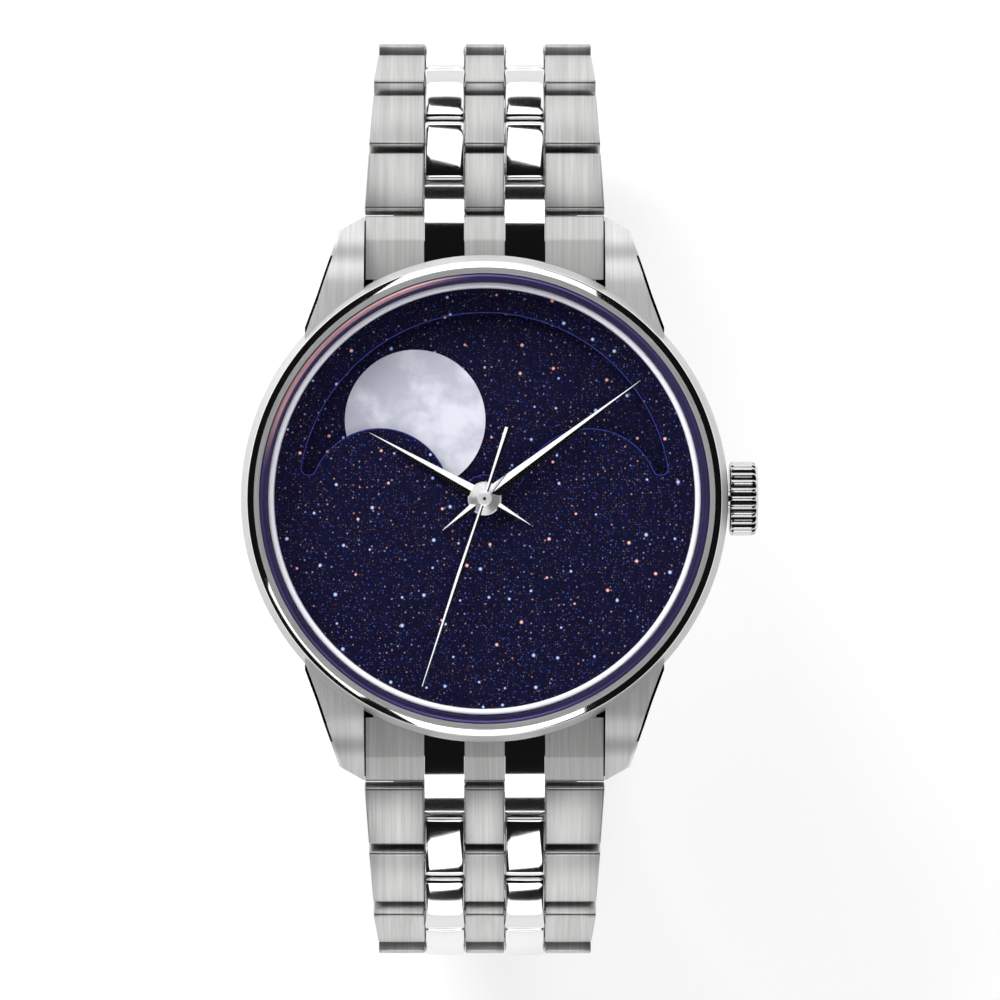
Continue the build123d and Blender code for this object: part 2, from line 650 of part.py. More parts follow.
def lance(length, z, hub_diameter, bore, angle):
    """Hour or minute hand: a long faceted lance with a short tail and a coned hub."""
    half = HAND_WIDTH / 2
    outline = rounded_face([
        (0, length, 0),
        (-half, HAND_WIDEST_AT, 0),
        (0, -HAND_TAIL, 0),
        (half, HAND_WIDEST_AT, 0),
    ])
    body = faceted(outline, HAND_WIDTH, HAND_HEIGHT, z)
    hub = turned([
        (0, z, 0),
        (hub_diameter / 2, z, 0),
        (hub_diameter / 2, z + HAND_EDGE, 0),
        (bore / 2 + HAND_EDGE, z + HAND_HEIGHT, 0),
        (0, z + HAND_HEIGHT, 0),
    ])
    body = body + hub - disc(bore, z - OVERRUN, z + HAND_HEIGHT + OVERRUN)
    return Rot(0, 0, -angle) * body


def seconds_hand():
    """Thin faceted needle with a counterweight that widens to a flat end."""
    waist = SECONDS_HUB_DIAMETER / 2
    wide = SECONDS_LENGTH * SECONDS_WIDEST_SHARE
    right = [
        (SECONDS_TIP_WIDTH / 2, SECONDS_LENGTH, 0),
        (SECONDS_WIDEST / 2, wide, 0),
        (SECONDS_WAIST / 2, waist, 0),
        (SECONDS_WAIST / 2, -waist, 0),
        (SECONDS_TAIL_WIDTH / 2, -SECONDS_TAIL, 0),
    ]
    left = [(-x, y, r) for x, y, r in reversed(right)]
    needle = faceted(rounded_face(right + left), SECONDS_TAIL_WIDTH, SECONDS_HEIGHT, SECONDS_Z)
    hub = disc(SECONDS_HUB_DIAMETER, SECONDS_Z, SECONDS_Z + SECONDS_HEIGHT + HAND_EDGE)
    bore = disc(SECONDS_ARBOR_DIAMETER, SECONDS_Z - OVERRUN, SECONDS_Z + OVERRUN)
    keep("seconds_hand", Rot(0, 0, -SECONDS_ANGLE) * (needle + hub - bore))


def toothed(diameter, teeth, z0, z1):
    """Wheel blank whose rim is a row of flat-topped teeth."""
    tip = diameter / 2
    root = tip - TOOTH_HEIGHT
    corners = []
    for i in range(teeth):
        for share, reach in zip(TOOTH_SHARES, (root, root, tip, tip)):
            x, y = polar(reach, 360 * (i + share) / teeth)
            corners.append((x, y, 0))
    return plate(rounded_face(corners), z0, z1)


def spoked(diameter, teeth, z):
    """Toothed wheel with windows between its spokes."""
    wheel = toothed(diameter, teeth, z, z + WHEEL_THICKNESS)
    rim = diameter / 2 - TOOTH_HEIGHT - WHEEL_RIM
    window = ring(2 * rim, 2 * PINION_DIAMETER, z - OVERRUN, z + WHEEL_THICKNESS + OVERRUN)
    for i in range(WHEEL_SPOKES):
        turn = Rot(0, 0, 360 * i / WHEEL_SPOKES)
        arm = Pos(rim / 2, 0, 0) * Box(rim, WHEEL_RIM, 3 * OVERRUN)
        window -= Pos(0, 0, z) * turn * arm
    return wheel - window


def motion_works():
    """Hour wheel and cannon pinion on the dial side, and the hands they carry."""
    hour = lance(HOUR_LENGTH, HOUR_Z, HOUR_HUB_DIAMETER, HOUR_TUBE_DIAMETER, HOUR_ANGLE)
    keep("hour_hand", hour)
    minute = lance(MINUTE_LENGTH, MINUTE_Z, MINUTE_HUB_DIAMETER, CANNON_DIAMETER, MINUTE_ANGLE)
    keep("minute_hand", minute)
    gear_z = PLATE_TOP + FIT
    gear = toothed(HOUR_WHEEL_DIAMETER, HOUR_WHEEL_TEETH, gear_z, gear_z + WHEEL_THICKNESS)
    tube = disc(HOUR_TUBE_DIAMETER, gear_z, HOUR_Z + HAND_HEIGHT)
    bore = disc(HOUR_TUBE_BORE, gear_z - OVERRUN, MINUTE_Z + OVERRUN)
    keep("hour_wheel", gear + tube - bore)
    foot = PLATE_TOP - PLATE_THICKNESS / 2
    cannon = disc(CANNON_DIAMETER, foot, MINUTE_Z + HAND_HEIGHT)
    cannon += toothed(2 * CANNON_DIAMETER, CANNON_TEETH, foot, foot + PINION_HEIGHT)
    keep("cannon_pinion", cannon - disc(CANNON_BORE, foot - OVERRUN, MINUTE_Z + OVERRUN))
    seconds_hand()


def wheel_places():
    """Centre of each part of the train, set so that rims and pinions only just clear."""
    mesh = PINION_DIAMETER / 2 + MESH_CLEARANCE
    third = polar(THIRD_WHEEL_DIAMETER / 2 + mesh, THIRD_WHEEL_ANGLE)
    escape = polar(FOURTH_WHEEL_DIAMETER / 2 + mesh, ESCAPE_WHEEL_ANGLE)
    balance = polar(BALANCE_REACH, BALANCE_ANGLE)
    barrel = polar(BARREL_REACH, BARREL_ANGLE)
    reach = ESCAPE_WHEEL_DIAMETER / 2 + PALLET_WIDTH
    share = reach / math.hypot(balance[0] - escape[0], balance[1] - escape[1])
    fork = [near + (far - near) * share for near, far in zip(escape, balance)]
    return {"third": third, "escape": escape, "balance": balance, "barrel": barrel, "fork": fork}


def train():
    """Going train: barrel, third, fourth and escape wheels and balance."""
    places = wheel_places()
    low = BRIDGE_TOP - BRIDGE_THICKNESS / 2
    high = PLATE_BOTTOM + PLATE_THICKNESS / 2
    level = PLATE_BOTTOM - TRAIN_GAP / 2
    upper = level + 2 * WHEEL_THICKNESS
    fourth = spoked(FOURTH_WHEEL_DIAMETER, FOURTH_WHEEL_TEETH, upper)
    fourth += disc(SECONDS_ARBOR_DIAMETER, low, SECONDS_Z + SECONDS_HEIGHT)
    fourth += disc(PINION_DIAMETER, level - FIT, level + WHEEL_THICKNESS + FIT)
    keep("fourth_wheel", fourth)
    x, y = places["third"]
    third = Pos(x, y, 0) * spoked(THIRD_WHEEL_DIAMETER, THIRD_WHEEL_TEETH, level)
    third += disc(SHAFT_DIAMETER, low, high, x, y)
    third += disc(PINION_DIAMETER, level - PINION_HEIGHT, level, x, y)
    keep("third_wheel", third)
    x, y = places["escape"]
    escape = Pos(x, y, 0) * spoked(ESCAPE_WHEEL_DIAMETER, ESCAPE_WHEEL_TEETH, level)
    escape += disc(SHAFT_DIAMETER, low, high, x, y)
    escape += disc(PINION_DIAMETER, upper - FIT, upper + WHEEL_THICKNESS + FIT, x, y)
    keep("escape_wheel", escape)
    barrel_z = BRIDGE_TOP + (TRAIN_GAP - BARREL_HEIGHT) / 2
    x, y = places["barrel"]
    gear = toothed(BARREL_DIAMETER, BARREL_TEETH, barrel_z, barrel_z + WHEEL_THICKNESS)
    drum = BARREL_DIAMETER - 2 * TOOTH_HEIGHT - WHEEL_RIM
    barrel = Pos(x, y, 0) * gear + disc(drum, barrel_z, barrel_z + BARREL_HEIGHT, x, y)
    barrel += disc(2 * SHAFT_DIAMETER, low, high, x, y)
    keep("mainspring_barrel", barrel)
    x, y = places["balance"]
    rim = ring(BALANCE_DIAMETER, BALANCE_DIAMETER - 2 * BALANCE_RIM, 0, BALANCE_HEIGHT)
    arm = Box(BALANCE_DIAMETER - BALANCE_RIM, BALANCE_RIM, BALANCE_HEIGHT)
    rim += Pos(0, 0, BALANCE_HEIGHT / 2) * arm
    rim += disc(2 * PINION_DIAMETER, 0, BALANCE_HEIGHT)
    balance = Pos(x, y, BRIDGE_TOP + BALANCE_HEIGHT) * rim
    balance += disc(SHAFT_DIAMETER, low, high, x, y)
    keep("balance_wheel", balance)


def pallet_fork():
    """Lever between the escape wheel and the balance, on its own short arbor."""
    places = wheel_places()
    ex, ey = places["escape"]
    bx, by = places["balance"]
    x, y = places["fork"]
    z = PLATE_BOTTOM - TRAIN_GAP / 2 + 2 * WHEEL_THICKNESS
    turn = math.degrees(math.atan2(by - ey, bx - ex))
    back = PALLET_LENGTH * PALLET_BACK_SHARE
    arm = Pos(back, 0, 0) * Box(PALLET_LENGTH, PALLET_WIDTH, WHEEL_THICKNESS)
    anchor = Box(PALLET_WIDTH, PALLET_LENGTH, WHEEL_THICKNESS)
    notch = Pos(PALLET_LENGTH - back, 0, 0) * Box(PALLET_WIDTH, PALLET_WIDTH / 2, OVERRUN)
    lever = Pos(x, y, z + WHEEL_THICKNESS / 2) * Rot(0, 0, turn) * (arm + anchor - notch)
    arbor = disc(SHAFT_DIAMETER, z - WHEEL_THICKNESS, PLATE_BOTTOM + PLATE_THICKNESS / 2, x, y)
    keep("pallet_fork", lever + arbor)


def frame_plates():
    """Main plate, train bridge and balance cock, with their screws."""
    places = wheel_places()
    holes = [places[name] for name in ("third", "escape", "balance", "fork")]
    body = disc(MOVEMENT_DIAMETER, PLATE_BOTTOM, PLATE_TOP)
    depth = PLATE_BOTTOM + PLATE_THICKNESS / 2 + FIT
    hole = SHAFT_DIAMETER + 2 * SHAFT_CLEARANCE
    barrel_hole = 2 * SHAFT_DIAMETER + 2 * SHAFT_CLEARANCE
    bx, by = places["barrel"]
    for x, y in holes:
        body -= disc(hole, PLATE_BOTTOM - OVERRUN, depth, x, y)
    body -= disc(barrel_hole, PLATE_BOTTOM - OVERRUN, depth, bx, by)
    body -= disc(CANNON_BORE, 0, CASE_TOP)
    recess = 2 * CANNON_DIAMETER + 2 * MOON_DISC_CLEARANCE
    body -= disc(recess, PLATE_TOP - PLATE_THICKNESS / 2 - FIT, PLATE_TOP + OVERRUN)
    channel = STEM_DIAMETER + 2 * STEM_CLEARANCE
    body -= rod(channel, STEM_INNER_END - OVERRUN, MOVEMENT_DIAMETER, 0, STEM_Z)
    gap = STEM_CLEARANCE
    half = WINDING_PINION_DIAMETER / 2 + gap
    start = WINDING_PINION_START - gap
    end = WINDING_PINION_START + WINDING_PINION_LENGTH + gap
    body -= block(start, end, -half, half, PLATE_BOTTOM - OVERRUN, PLATE_TOP + OVERRUN)
    keep("main_plate", body)

    screws = []
    x, y = places["balance"]
    bridge = disc(MOVEMENT_DIAMETER, BRIDGE_BOTTOM, BRIDGE_TOP)
    bridge -= disc(BALANCE_WINDOW_DIAMETER, BRIDGE_BOTTOM - OVERRUN, BRIDGE_TOP + OVERRUN, x, y)
    for degrees in PILLAR_ANGLES:
        px, py = polar(PILLAR_REACH, degrees)
        bridge += disc(PILLAR_DIAMETER, BRIDGE_TOP, PLATE_BOTTOM, px, py)
        bridge, screw = screwed(bridge, px, py)
        screws.append(screw)
    bridge -= disc(hole, BRIDGE_BOTTOM - OVERRUN, BRIDGE_TOP + OVERRUN)
    for x3, y3 in (places["third"], places["escape"]):
        bridge -= disc(hole, BRIDGE_BOTTOM - OVERRUN, BRIDGE_TOP + OVERRUN, x3, y3)
    bridge -= disc(barrel_hole, BRIDGE_BOTTOM - OVERRUN, BRIDGE_TOP + OVERRUN, bx, by)
    post = disc(ROTOR_POST_DIAMETER, ROTOR_BOTTOM, BRIDGE_BOTTOM)
    keep("train_bridge", bridge + post)

    reach = MOVEMENT_DIAMETER / 2 - BALANCE_REACH
    turn = Pos(x, y, 0) * Rot(0, 0, BALANCE_ANGLE)
    half = COCK_WIDTH / 2
    arm = block(0, reach, -half, half, BRIDGE_BOTTOM, BRIDGE_TOP)
    cock = turn * arm + disc(COCK_END_DIAMETER, BRIDGE_BOTTOM, BRIDGE_TOP, x, y)
    cock &= disc(MOVEMENT_DIAMETER, BRIDGE_BOTTOM, BRIDGE_TOP)
    foot_reach = MOVEMENT_DIAMETER / 2 - SCREW_DIAMETER
    window = BALANCE_REACH + BALANCE_DIAMETER / 2
    heel = ring(MOVEMENT_DIAMETER, 2 * window, BRIDGE_BOTTOM, PLATE_BOTTOM)
    side = block(reach / 2, 3 * reach / 2, -half, half, BRIDGE_BOTTOM, PLATE_BOTTOM)
    cock += heel & turn * side
    cock -= disc(hole, BRIDGE_BOTTOM - OVERRUN, BRIDGE_TOP + OVERRUN, x, y)
    cx, cy = polar(foot_reach - SCREW_HEAD_DIAMETER / 2, BALANCE_ANGLE)
    cock, screw = screwed(cock, cx, cy, SCREW_HEAD_HEIGHT + FIT)
    screws.append(screw)
    keep("balance_cock", cock)
    keep("bridge_screws", *screws)


def screwed(body, x, y, length=SCREW_LENGTH):
    """Cuts a counterbored hole from below and gives back the body and its slotted screw."""
    head_top = BRIDGE_BOTTOM + SCREW_HEAD_HEIGHT
    body -= disc(SCREW_HEAD_DIAMETER, BRIDGE_BOTTOM - OVERRUN, head_top, x, y)
    body -= disc(SCREW_DIAMETER, BRIDGE_BOTTOM, BRIDGE_BOTTOM + length, x, y)
    screw = disc(SCREW_HEAD_DIAMETER, BRIDGE_BOTTOM, head_top, x, y)
    screw += disc(SCREW_DIAMETER, BRIDGE_BOTTOM, BRIDGE_BOTTOM + length, x, y)
    slot = Pos(x, y, BRIDGE_BOTTOM) * Box(OVERRUN, SCREW_SLOT_WIDTH, 2 * SCREW_SLOT_DEPTH)
    return body, screw - slot


def rotor():
    """Half-disc winding weight with a heavy rim, seen through the case back."""
    body = disc(ROTOR_DIAMETER, ROTOR_BOTTOM, ROTOR_TOP)
    body -= block(-ROTOR_DIAMETER, ROTOR_DIAMETER, 0, ROTOR_DIAMETER, 0, CASE_TOP)
    web = ROTOR_DIAMETER - 2 * ROTOR_RIM_WIDTH
    thin = ring(web, ROTOR_HUB_DIAMETER, ROTOR_BOTTOM - OVERRUN, ROTOR_BOTTOM + ROTOR_THICKNESS / 2)
    body += disc(ROTOR_HUB_DIAMETER, ROTOR_BOTTOM, ROTOR_TOP)
    body -= thin
    bore = ROTOR_POST_DIAMETER + 2 * SHAFT_CLEARANCE
    keep("rotor", body - disc(bore, ROTOR_BOTTOM - OVERRUN, ROTOR_TOP + OVERRUN))


def case_back():
    """Screwed-in back ring with key notches, its window, and the ring that holds the movement."""
    spigot = CASE_BORE_DIAMETER / 2 - FIT
    seat = BACK_CRYSTAL_DIAMETER / 2
    room = MOVEMENT_DIAMETER / 2 + FIT
    body = turned([
        (BACK_WINDOW_DIAMETER / 2, BACK_BOTTOM, 0),
        (BACK_DIAMETER / 2, BACK_BOTTOM, BACK_CHAMFER),
        (BACK_DIAMETER / 2, CASE_FOOT, 0),
        (spigot, CASE_FOOT, 0),
        (spigot, BACK_TOP, 0),
        (room, BACK_TOP, 0),
        (room, BACK_CRYSTAL_TOP, 0),
        (seat, BACK_CRYSTAL_TOP, 0),
        (seat, BACK_CRYSTAL_Z, 0),
        (BACK_WINDOW_DIAMETER / 2, BACK_CRYSTAL_Z, 0),
    ])
    notch = Box(BACK_NOTCH_LENGTH, BACK_NOTCH_WIDTH, 2 * BACK_NOTCH_DEPTH)
    notch = Pos(BACK_NOTCH_REACH, 0, BACK_BOTTOM) * notch
    for i in range(BACK_NOTCHES):
        body -= Rot(0, 0, 360 * i / BACK_NOTCHES) * notch
    keep("case_back", body)
    keep("back_crystal", disc(BACK_CRYSTAL_DIAMETER, BACK_CRYSTAL_Z, BACK_CRYSTAL_TOP))
    inner = MOVEMENT_DIAMETER / 2
    wide = MOON_DISC_DIAMETER / 2 + MOON_DISC_CLEARANCE
    holder = turned([
        (inner, BACK_TOP, 0),
        (spigot, BACK_TOP, 0),
        (spigot, DIAL_SEAT, 0),
        (wide, DIAL_SEAT, 0),
        (wide, PLATE_TOP, 0),
        (inner, PLATE_TOP, 0),
    ])
    stem_hole = STEM_DIAMETER + 2 * STEM_CLEARANCE
    keep("movement_ring", holder - rod(stem_hole, 0, CASE_DIAMETER, 0, STEM_Z))


def crown():
    """Fluted crown on its stem, with the tube in the case and the winding pinion inside."""
    end = CROWN_START + CROWN_LENGTH
    radius = CROWN_DIAMETER / 2
    profile = rounded_face([
        (CROWN_START, 0, 0),
        (end, 0, 0),
        (end - CROWN_CHAMFER / 2, radius - CROWN_CHAMFER, CROWN_CHAMFER),
        (end - 2 * CROWN_CHAMFER, radius, CROWN_CHAMFER / 2),
        (CROWN_START + CROWN_CHAMFER, radius, CROWN_CHAMFER / 2),
        (CROWN_START, radius - CROWN_CHAMFER, 0),
    ])
    body = revolve(profile, Axis.X)
    body -= rod(CROWN_BORE_DIAMETER, CROWN_START - OVERRUN, CROWN_START + CROWN_BORE_DEPTH)
    flute = rod(CROWN_FLUTE_DIAMETER, CROWN_START - OVERRUN, end - 3 * CROWN_CHAMFER / 2, radius)
    for i in range(CROWN_FLUTES):
        body -= Rot(360 * i / CROWN_FLUTES, 0, 0) * flute
    keep("crown", Pos(0, 0, STEM_Z) * body)
    keep("winding_stem", rod(STEM_DIAMETER, STEM_INNER_END, CROWN_START + CROWN_BORE_DEPTH, 0, STEM_Z))
    start = CASE_BORE_DIAMETER / 2 + FIT
    tube = rod(CROWN_TUBE_DIAMETER, start, CROWN_TUBE_END, 0, STEM_Z)
    bore = STEM_DIAMETER + 2 * STEM_CLEARANCE
    keep("crown_tube", tube - rod(bore, 0, CASE_DIAMETER, 0, STEM_Z))
    pinion_end = WINDING_PINION_START + WINDING_PINION_LENGTH
    pinion = rod(WINDING_PINION_DIAMETER, WINDING_PINION_START, pinion_end, 0, STEM_Z)
    keep("winding_pinion", pinion - rod(STEM_DIAMETER + 2 * FIT, 0, CASE_DIAMETER, 0, STEM_Z))


def blades():
    """Two thin blades that fold over each other, with their knuckles and pins."""
    half = BLADE_WIDTH / 2
    near = CLASP_Y - HALF_LINK - LINK_GAP
    top = INNER_BLADE_Z + BLADE_THICKNESS
    pivot = CLASP_PIVOT_HEIGHT
    inner = block(-half, half, FRONT_PIVOT_Y, near, INNER_BLADE_Z, top)
    columns = [(-COLUMN_INNER, COLUMN_INNER), (COLUMN_OUTER, HALF_COVER), (-HALF_COVER, -COLUMN_OUTER)]
    for x0, x1 in columns:
        inner += rod(LINK_THICKNESS, x0, x1, CLASP_Y, pivot)
        lo, hi = max(x0, -half), min(x1, half)
        inner += block(lo, hi, near - OVERRUN / 2, CLASP_Y, INNER_BLADE_Z, top)
    knuckle = CENTRE_KNUCKLE_WIDTH / 2
    front_r = FRONT_KNUCKLE_DIAMETER / 2
    clear = front_r + KNUCKLE_GAP
    for x0, x1 in ((-half - OVERRUN, -knuckle), (knuckle, half + OVERRUN)):
        inner -= block(x0, x1, FRONT_PIVOT_Y - OVERRUN, FRONT_PIVOT_Y + clear, 0, top + OVERRUN)
    inner += rod(FRONT_KNUCKLE_DIAMETER, -knuckle, knuckle, FRONT_PIVOT_Y, FRONT_PIVOT_Z)
    inner -= rod(LINK_PIN_DIAMETER, -HALF_COVER - OVERRUN, HALF_COVER + OVERRUN, CLASP_Y, pivot)
    front_pin = CLASP_PIN_DIAMETER
    inner -= rod(front_pin, -half, half, FRONT_PIVOT_Y, FRONT_PIVOT_Z)
    keep("clasp_inner_blade", inner)
    link_pin = rod(LINK_PIN_DIAMETER, PIN_INSET - HALF_COVER, HALF_COVER - PIN_INSET, CLASP_Y, pivot)
    keep("clasp_blade_pins", link_pin, rod(front_pin, -half, half, FRONT_PIVOT_Y, FRONT_PIVOT_Z))

    low = MIDDLE_BLADE_Z
    high = low + BLADE_THICKNESS
    middle = block(-half, half, FRONT_PIVOT_Y, REAR_PIVOT_Y, low, high)
    middle -= block(-knuckle - KNUCKLE_GAP, knuckle + KNUCKLE_GAP,
                    FRONT_PIVOT_Y - OVERRUN, FRONT_PIVOT_Y + clear, 0, top)
    rear_clear = REAR_KNUCKLE_DIAMETER / 2 + KNUCKLE_GAP
    for x0, x1 in ((-half - OVERRUN, -knuckle), (knuckle, half + OVERRUN)):
        middle -= block(x0, x1, REAR_PIVOT_Y - rear_clear, REAR_PIVOT_Y + OVERRUN, 0, top)
    for x0, x1 in ((-half, -knuckle - KNUCKLE_GAP), (knuckle + KNUCKLE_GAP, half)):
        middle += rod(FRONT_KNUCKLE_DIAMETER, x0, x1, FRONT_PIVOT_Y, FRONT_PIVOT_Z)
    middle += rod(REAR_KNUCKLE_DIAMETER, -knuckle, knuckle, REAR_PIVOT_Y, REAR_PIVOT_HEIGHT)
    loose = front_pin + 2 * PIN_CLEARANCE
    middle -= rod(loose, -half - OVERRUN, half + OVERRUN, FRONT_PIVOT_Y, FRONT_PIVOT_Z)
    middle -= rod(CLASP_PIN_DIAMETER, -half, half, REAR_PIVOT_Y, REAR_PIVOT_HEIGHT)
    keep("clasp_middle_blade", middle)
    rear_pin = rod(CLASP_PIN_DIAMETER, -half, half, REAR_PIVOT_Y, REAR_PIVOT_HEIGHT)
    keep("clasp_cover_pin", rear_pin)


def clasp_cover():
    """Cover of the clasp with side walls, hinge knuckles and two press buttons."""
    half = HALF_COVER
    inside = half - COVER_WALL
    outline = [
        (COVER_TAIL_Y, 0, COVER_TAIL_ROUND),
        (COVER_HEEL_Y, 0, REAR_PIVOT_HEIGHT),
        (COVER_HEEL_Y, COVER_WALL_HEIGHT, REAR_PIVOT_HEIGHT),
        (COVER_TAIL_Y, COVER_WALL_HEIGHT, LINK_TOP_ROUND),
    ]
    body = across(outline, -half, half)
    hollow = block(-inside, inside, COVER_TAIL_Y - OVERRUN, COVER_HEEL_Y + OVERRUN, COVER_PLATE, BAR_Z)
    body -= hollow
    knuckle = CENTRE_KNUCKLE_WIDTH / 2 + KNUCKLE_GAP
    for x0, x1 in ((-inside, -knuckle), (knuckle, inside)):
        body += rod(REAR_KNUCKLE_DIAMETER, x0, x1, REAR_PIVOT_Y, REAR_PIVOT_HEIGHT)
    clear = REAR_KNUCKLE_DIAMETER / 2 + KNUCKLE_GAP
    body -= block(-knuckle, knuckle, REAR_PIVOT_Y - clear, COVER_HEEL_Y + OVERRUN, -OVERRUN, BAR_Z)
    heel = REAR_PIVOT_Y + REAR_KNUCKLE_DIAMETER / 2
    body -= block(-inside, inside, heel, COVER_HEEL_Y + OVERRUN, -OVERRUN, BAR_Z)
    pin =CLASP_PIN_DIAMETER + 2 * PIN_CLEARANCE
    body -= rod(pin, -inside, inside, REAR_PIVOT_Y, REAR_PIVOT_HEIGHT)
    middle = (COVER_PLATE + COVER_WALL_HEIGHT) / 2
    y = FRONT_PIVOT_Y + BUTTON_REACH
    gap = BUTTON_CLEARANCE
    stem = BUTTON_LENGTH / 2
    hole = [
        (y - stem / 2 - gap, middle - BUTTON_STEM / 2 - gap, 0),
        (y + stem / 2 + gap, middle - BUTTON_STEM / 2 - gap, 0),
        (y + stem / 2 + gap, middle + BUTTON_STEM / 2 + gap, 0),
        (y - stem / 2 - gap, middle + BUTTON_STEM / 2 + gap, 0),
    ]
    body -= across(hole, -half - OVERRUN, half + OVERRUN)
    keep("clasp_cover", body)
    cap = [
        (y - stem, middle - BUTTON_HEIGHT / 2, BUTTON_ROUND),
        (y + stem, middle - BUTTON_HEIGHT / 2, BUTTON_ROUND),
        (y + stem, middle + BUTTON_HEIGHT / 2, BUTTON_ROUND),
        (y - stem, middle + BUTTON_HEIGHT / 2, BUTTON_ROUND),
    ]
    shank = [
        (y - stem / 2, middle - BUTTON_STEM / 2, 0),
        (y + stem / 2, middle - BUTTON_STEM / 2, 0),
        (y + stem / 2, middle + BUTTON_STEM / 2, 0),
        (y - stem / 2, middle + BUTTON_STEM / 2, 0),
    ]
    start = half + BUTTON_PROUD
    tip = BLADE_WIDTH / 2 + BUTTON_CLEARANCE + BUTTON_TRAVEL
    button = across(cap, start, start + BUTTON_PROUD) + across(shank, tip, start)
    keep("clasp_button_right", button)
    keep("clasp_button_left", mirror(button, Plane.YZ))


def build():
    """Makes every piece and writes one file for each."""
    middle_case()
    spring_bars()
    link = end_link()
    keep("end_link_12", link)
    keep("end_link_6", Rot(0, 0, 180) * link)
    bezel_and_crystal()
    dial()
    moons()
    motion_works()
    frame_plates()
    train()
    pallet_fork()
    rotor()
    case_back()
    crown()
    bracelet()
    blades()
    clasp_cover()
    for name, solids in NODES.items():
        export_step(Compound(solids), f"parts/{name}.step")
    print(len(NODES), "nodes")


build()
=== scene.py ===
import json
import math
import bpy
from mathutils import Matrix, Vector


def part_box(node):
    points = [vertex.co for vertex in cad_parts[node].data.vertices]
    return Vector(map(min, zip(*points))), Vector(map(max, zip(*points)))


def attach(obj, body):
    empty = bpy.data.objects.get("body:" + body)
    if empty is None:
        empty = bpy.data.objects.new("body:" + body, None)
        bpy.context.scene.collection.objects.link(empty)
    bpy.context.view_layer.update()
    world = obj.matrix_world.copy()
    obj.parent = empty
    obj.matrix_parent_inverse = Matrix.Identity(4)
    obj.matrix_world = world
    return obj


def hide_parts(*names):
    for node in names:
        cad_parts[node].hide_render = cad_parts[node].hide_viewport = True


bl_info = {
    "name": "Moon Phase Watch",
    "version": (1, 0, 0),
    "blender": (4, 5, 0),
    "location": "3D View > Sidebar > Watch",
    "description": "Finishes a round moon phase wristwatch and its linked bracelet, piece by piece",
    "category": "Object",
}

import bmesh
import bpy
import numpy as np
from bpy.props import FloatProperty, FloatVectorProperty, IntProperty, PointerProperty
from mathutils import Quaternion, Vector
from mathutils.geometry import tessellate_polygon

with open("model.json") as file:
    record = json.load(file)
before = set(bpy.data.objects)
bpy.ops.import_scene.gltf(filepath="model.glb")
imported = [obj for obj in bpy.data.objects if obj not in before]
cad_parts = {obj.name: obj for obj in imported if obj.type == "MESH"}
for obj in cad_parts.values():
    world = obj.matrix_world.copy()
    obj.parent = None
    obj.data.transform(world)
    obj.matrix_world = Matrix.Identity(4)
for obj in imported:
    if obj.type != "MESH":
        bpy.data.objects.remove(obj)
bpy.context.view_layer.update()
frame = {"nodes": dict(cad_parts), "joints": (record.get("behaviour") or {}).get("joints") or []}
NODES = frame["nodes"]
HINGES = {joint["child"]: joint["pos_m"] for joint in frame["joints"] if joint["type"] == "hinge"}

# All lengths below are in metres, written as millimetres times MM
MM = 0.001

# Least corner rounding, and how near points are merged
LEAST_ROUND = 0.02 * MM
MERGE_REACH = 0.001 * MM
DOUBLES_REACH = 0.0005 * MM

# Bracelet rows, front hinge at the row's own origin
ROWS = 9
ROW_PITCH = 5.2 * MM
HALF_LINK = 1.35 * MM
LINK_GAP = 0.1 * MM
LINK_SIDE_GAP = 0.06 * MM
LINK_TOP_ROUND = 0.32 * MM
LINK_UNDER_ROUND = 0.5 * MM
POLISHED_TOP_ROUND = 0.5 * MM
POLISHED_END_DROP = 0.2 * MM
POLISHED_CROWN_RISE = 0.11 * MM
POLISHED_CROWN_RADIUS = 12.0 * MM
POLISHED_BULGE = 0.07 * MM
COLUMN_INNER = 1.65 * MM
COLUMN_OUTER = 5.07 * MM
BRACELET_WIDTH = 19.9 * MM
BRACELET_END_WIDTH = 16.0 * MM
ROW_NARROWING = 0.69 * MM
PIN_RADIUS = 0.5 * MM
PIN_INSET = 0.35 * MM
PIN_POCKET = 0.6 * MM
PIN_DOME = 0.08 * MM
PIN_STEPS = 20

# Head
LUG_CHAMFER_LINES = ((math.radians(18.28), 18.28 * MM), (math.radians(20.32), 18.67 * MM))
# Reach and depth of the near-black painted reflection along the lug chamfers' edges
LUG_EDGE_REFLECTION_REACH = 20.2 * MM
CASE_ROUND_RADIUS = 20.26 * MM
LUG_ROOT_REACH = 13.8 * MM
LUG_CHAMFER_SLOPE = 0.45
LUG_POLISH_FROM = 0.01 * MM
LUG_EDGE_REFLECTION_FROM = 0.03 * MM
# Dark painted reflection band across the lug tops
LUG_REFLECTION_BAND_REACH = 20.5 * MM
LUG_REFLECTION_BAND_HALF = 1.3 * MM
# Painted shade on the lugs' inner faces, inside this distance from the centre line
LUG_INNER_FACE = 10.2 * MM
# Painted shade on the end links' sides, beyond this distance from the centre line
END_LINK_SIDE = 9.9 * MM
# Near-black blocks of painted shade in the gaps beside the end links
SHADE_BLOCK_INNER = 9.3 * MM
SHADE_BLOCK_OUTER = 10.15 * MM
SHADE_BLOCK_START = 17.2 * MM
SHADE_BLOCK_END = 23.2 * MM
SHADE_BLOCK_THICKNESS = 1.0 * MM
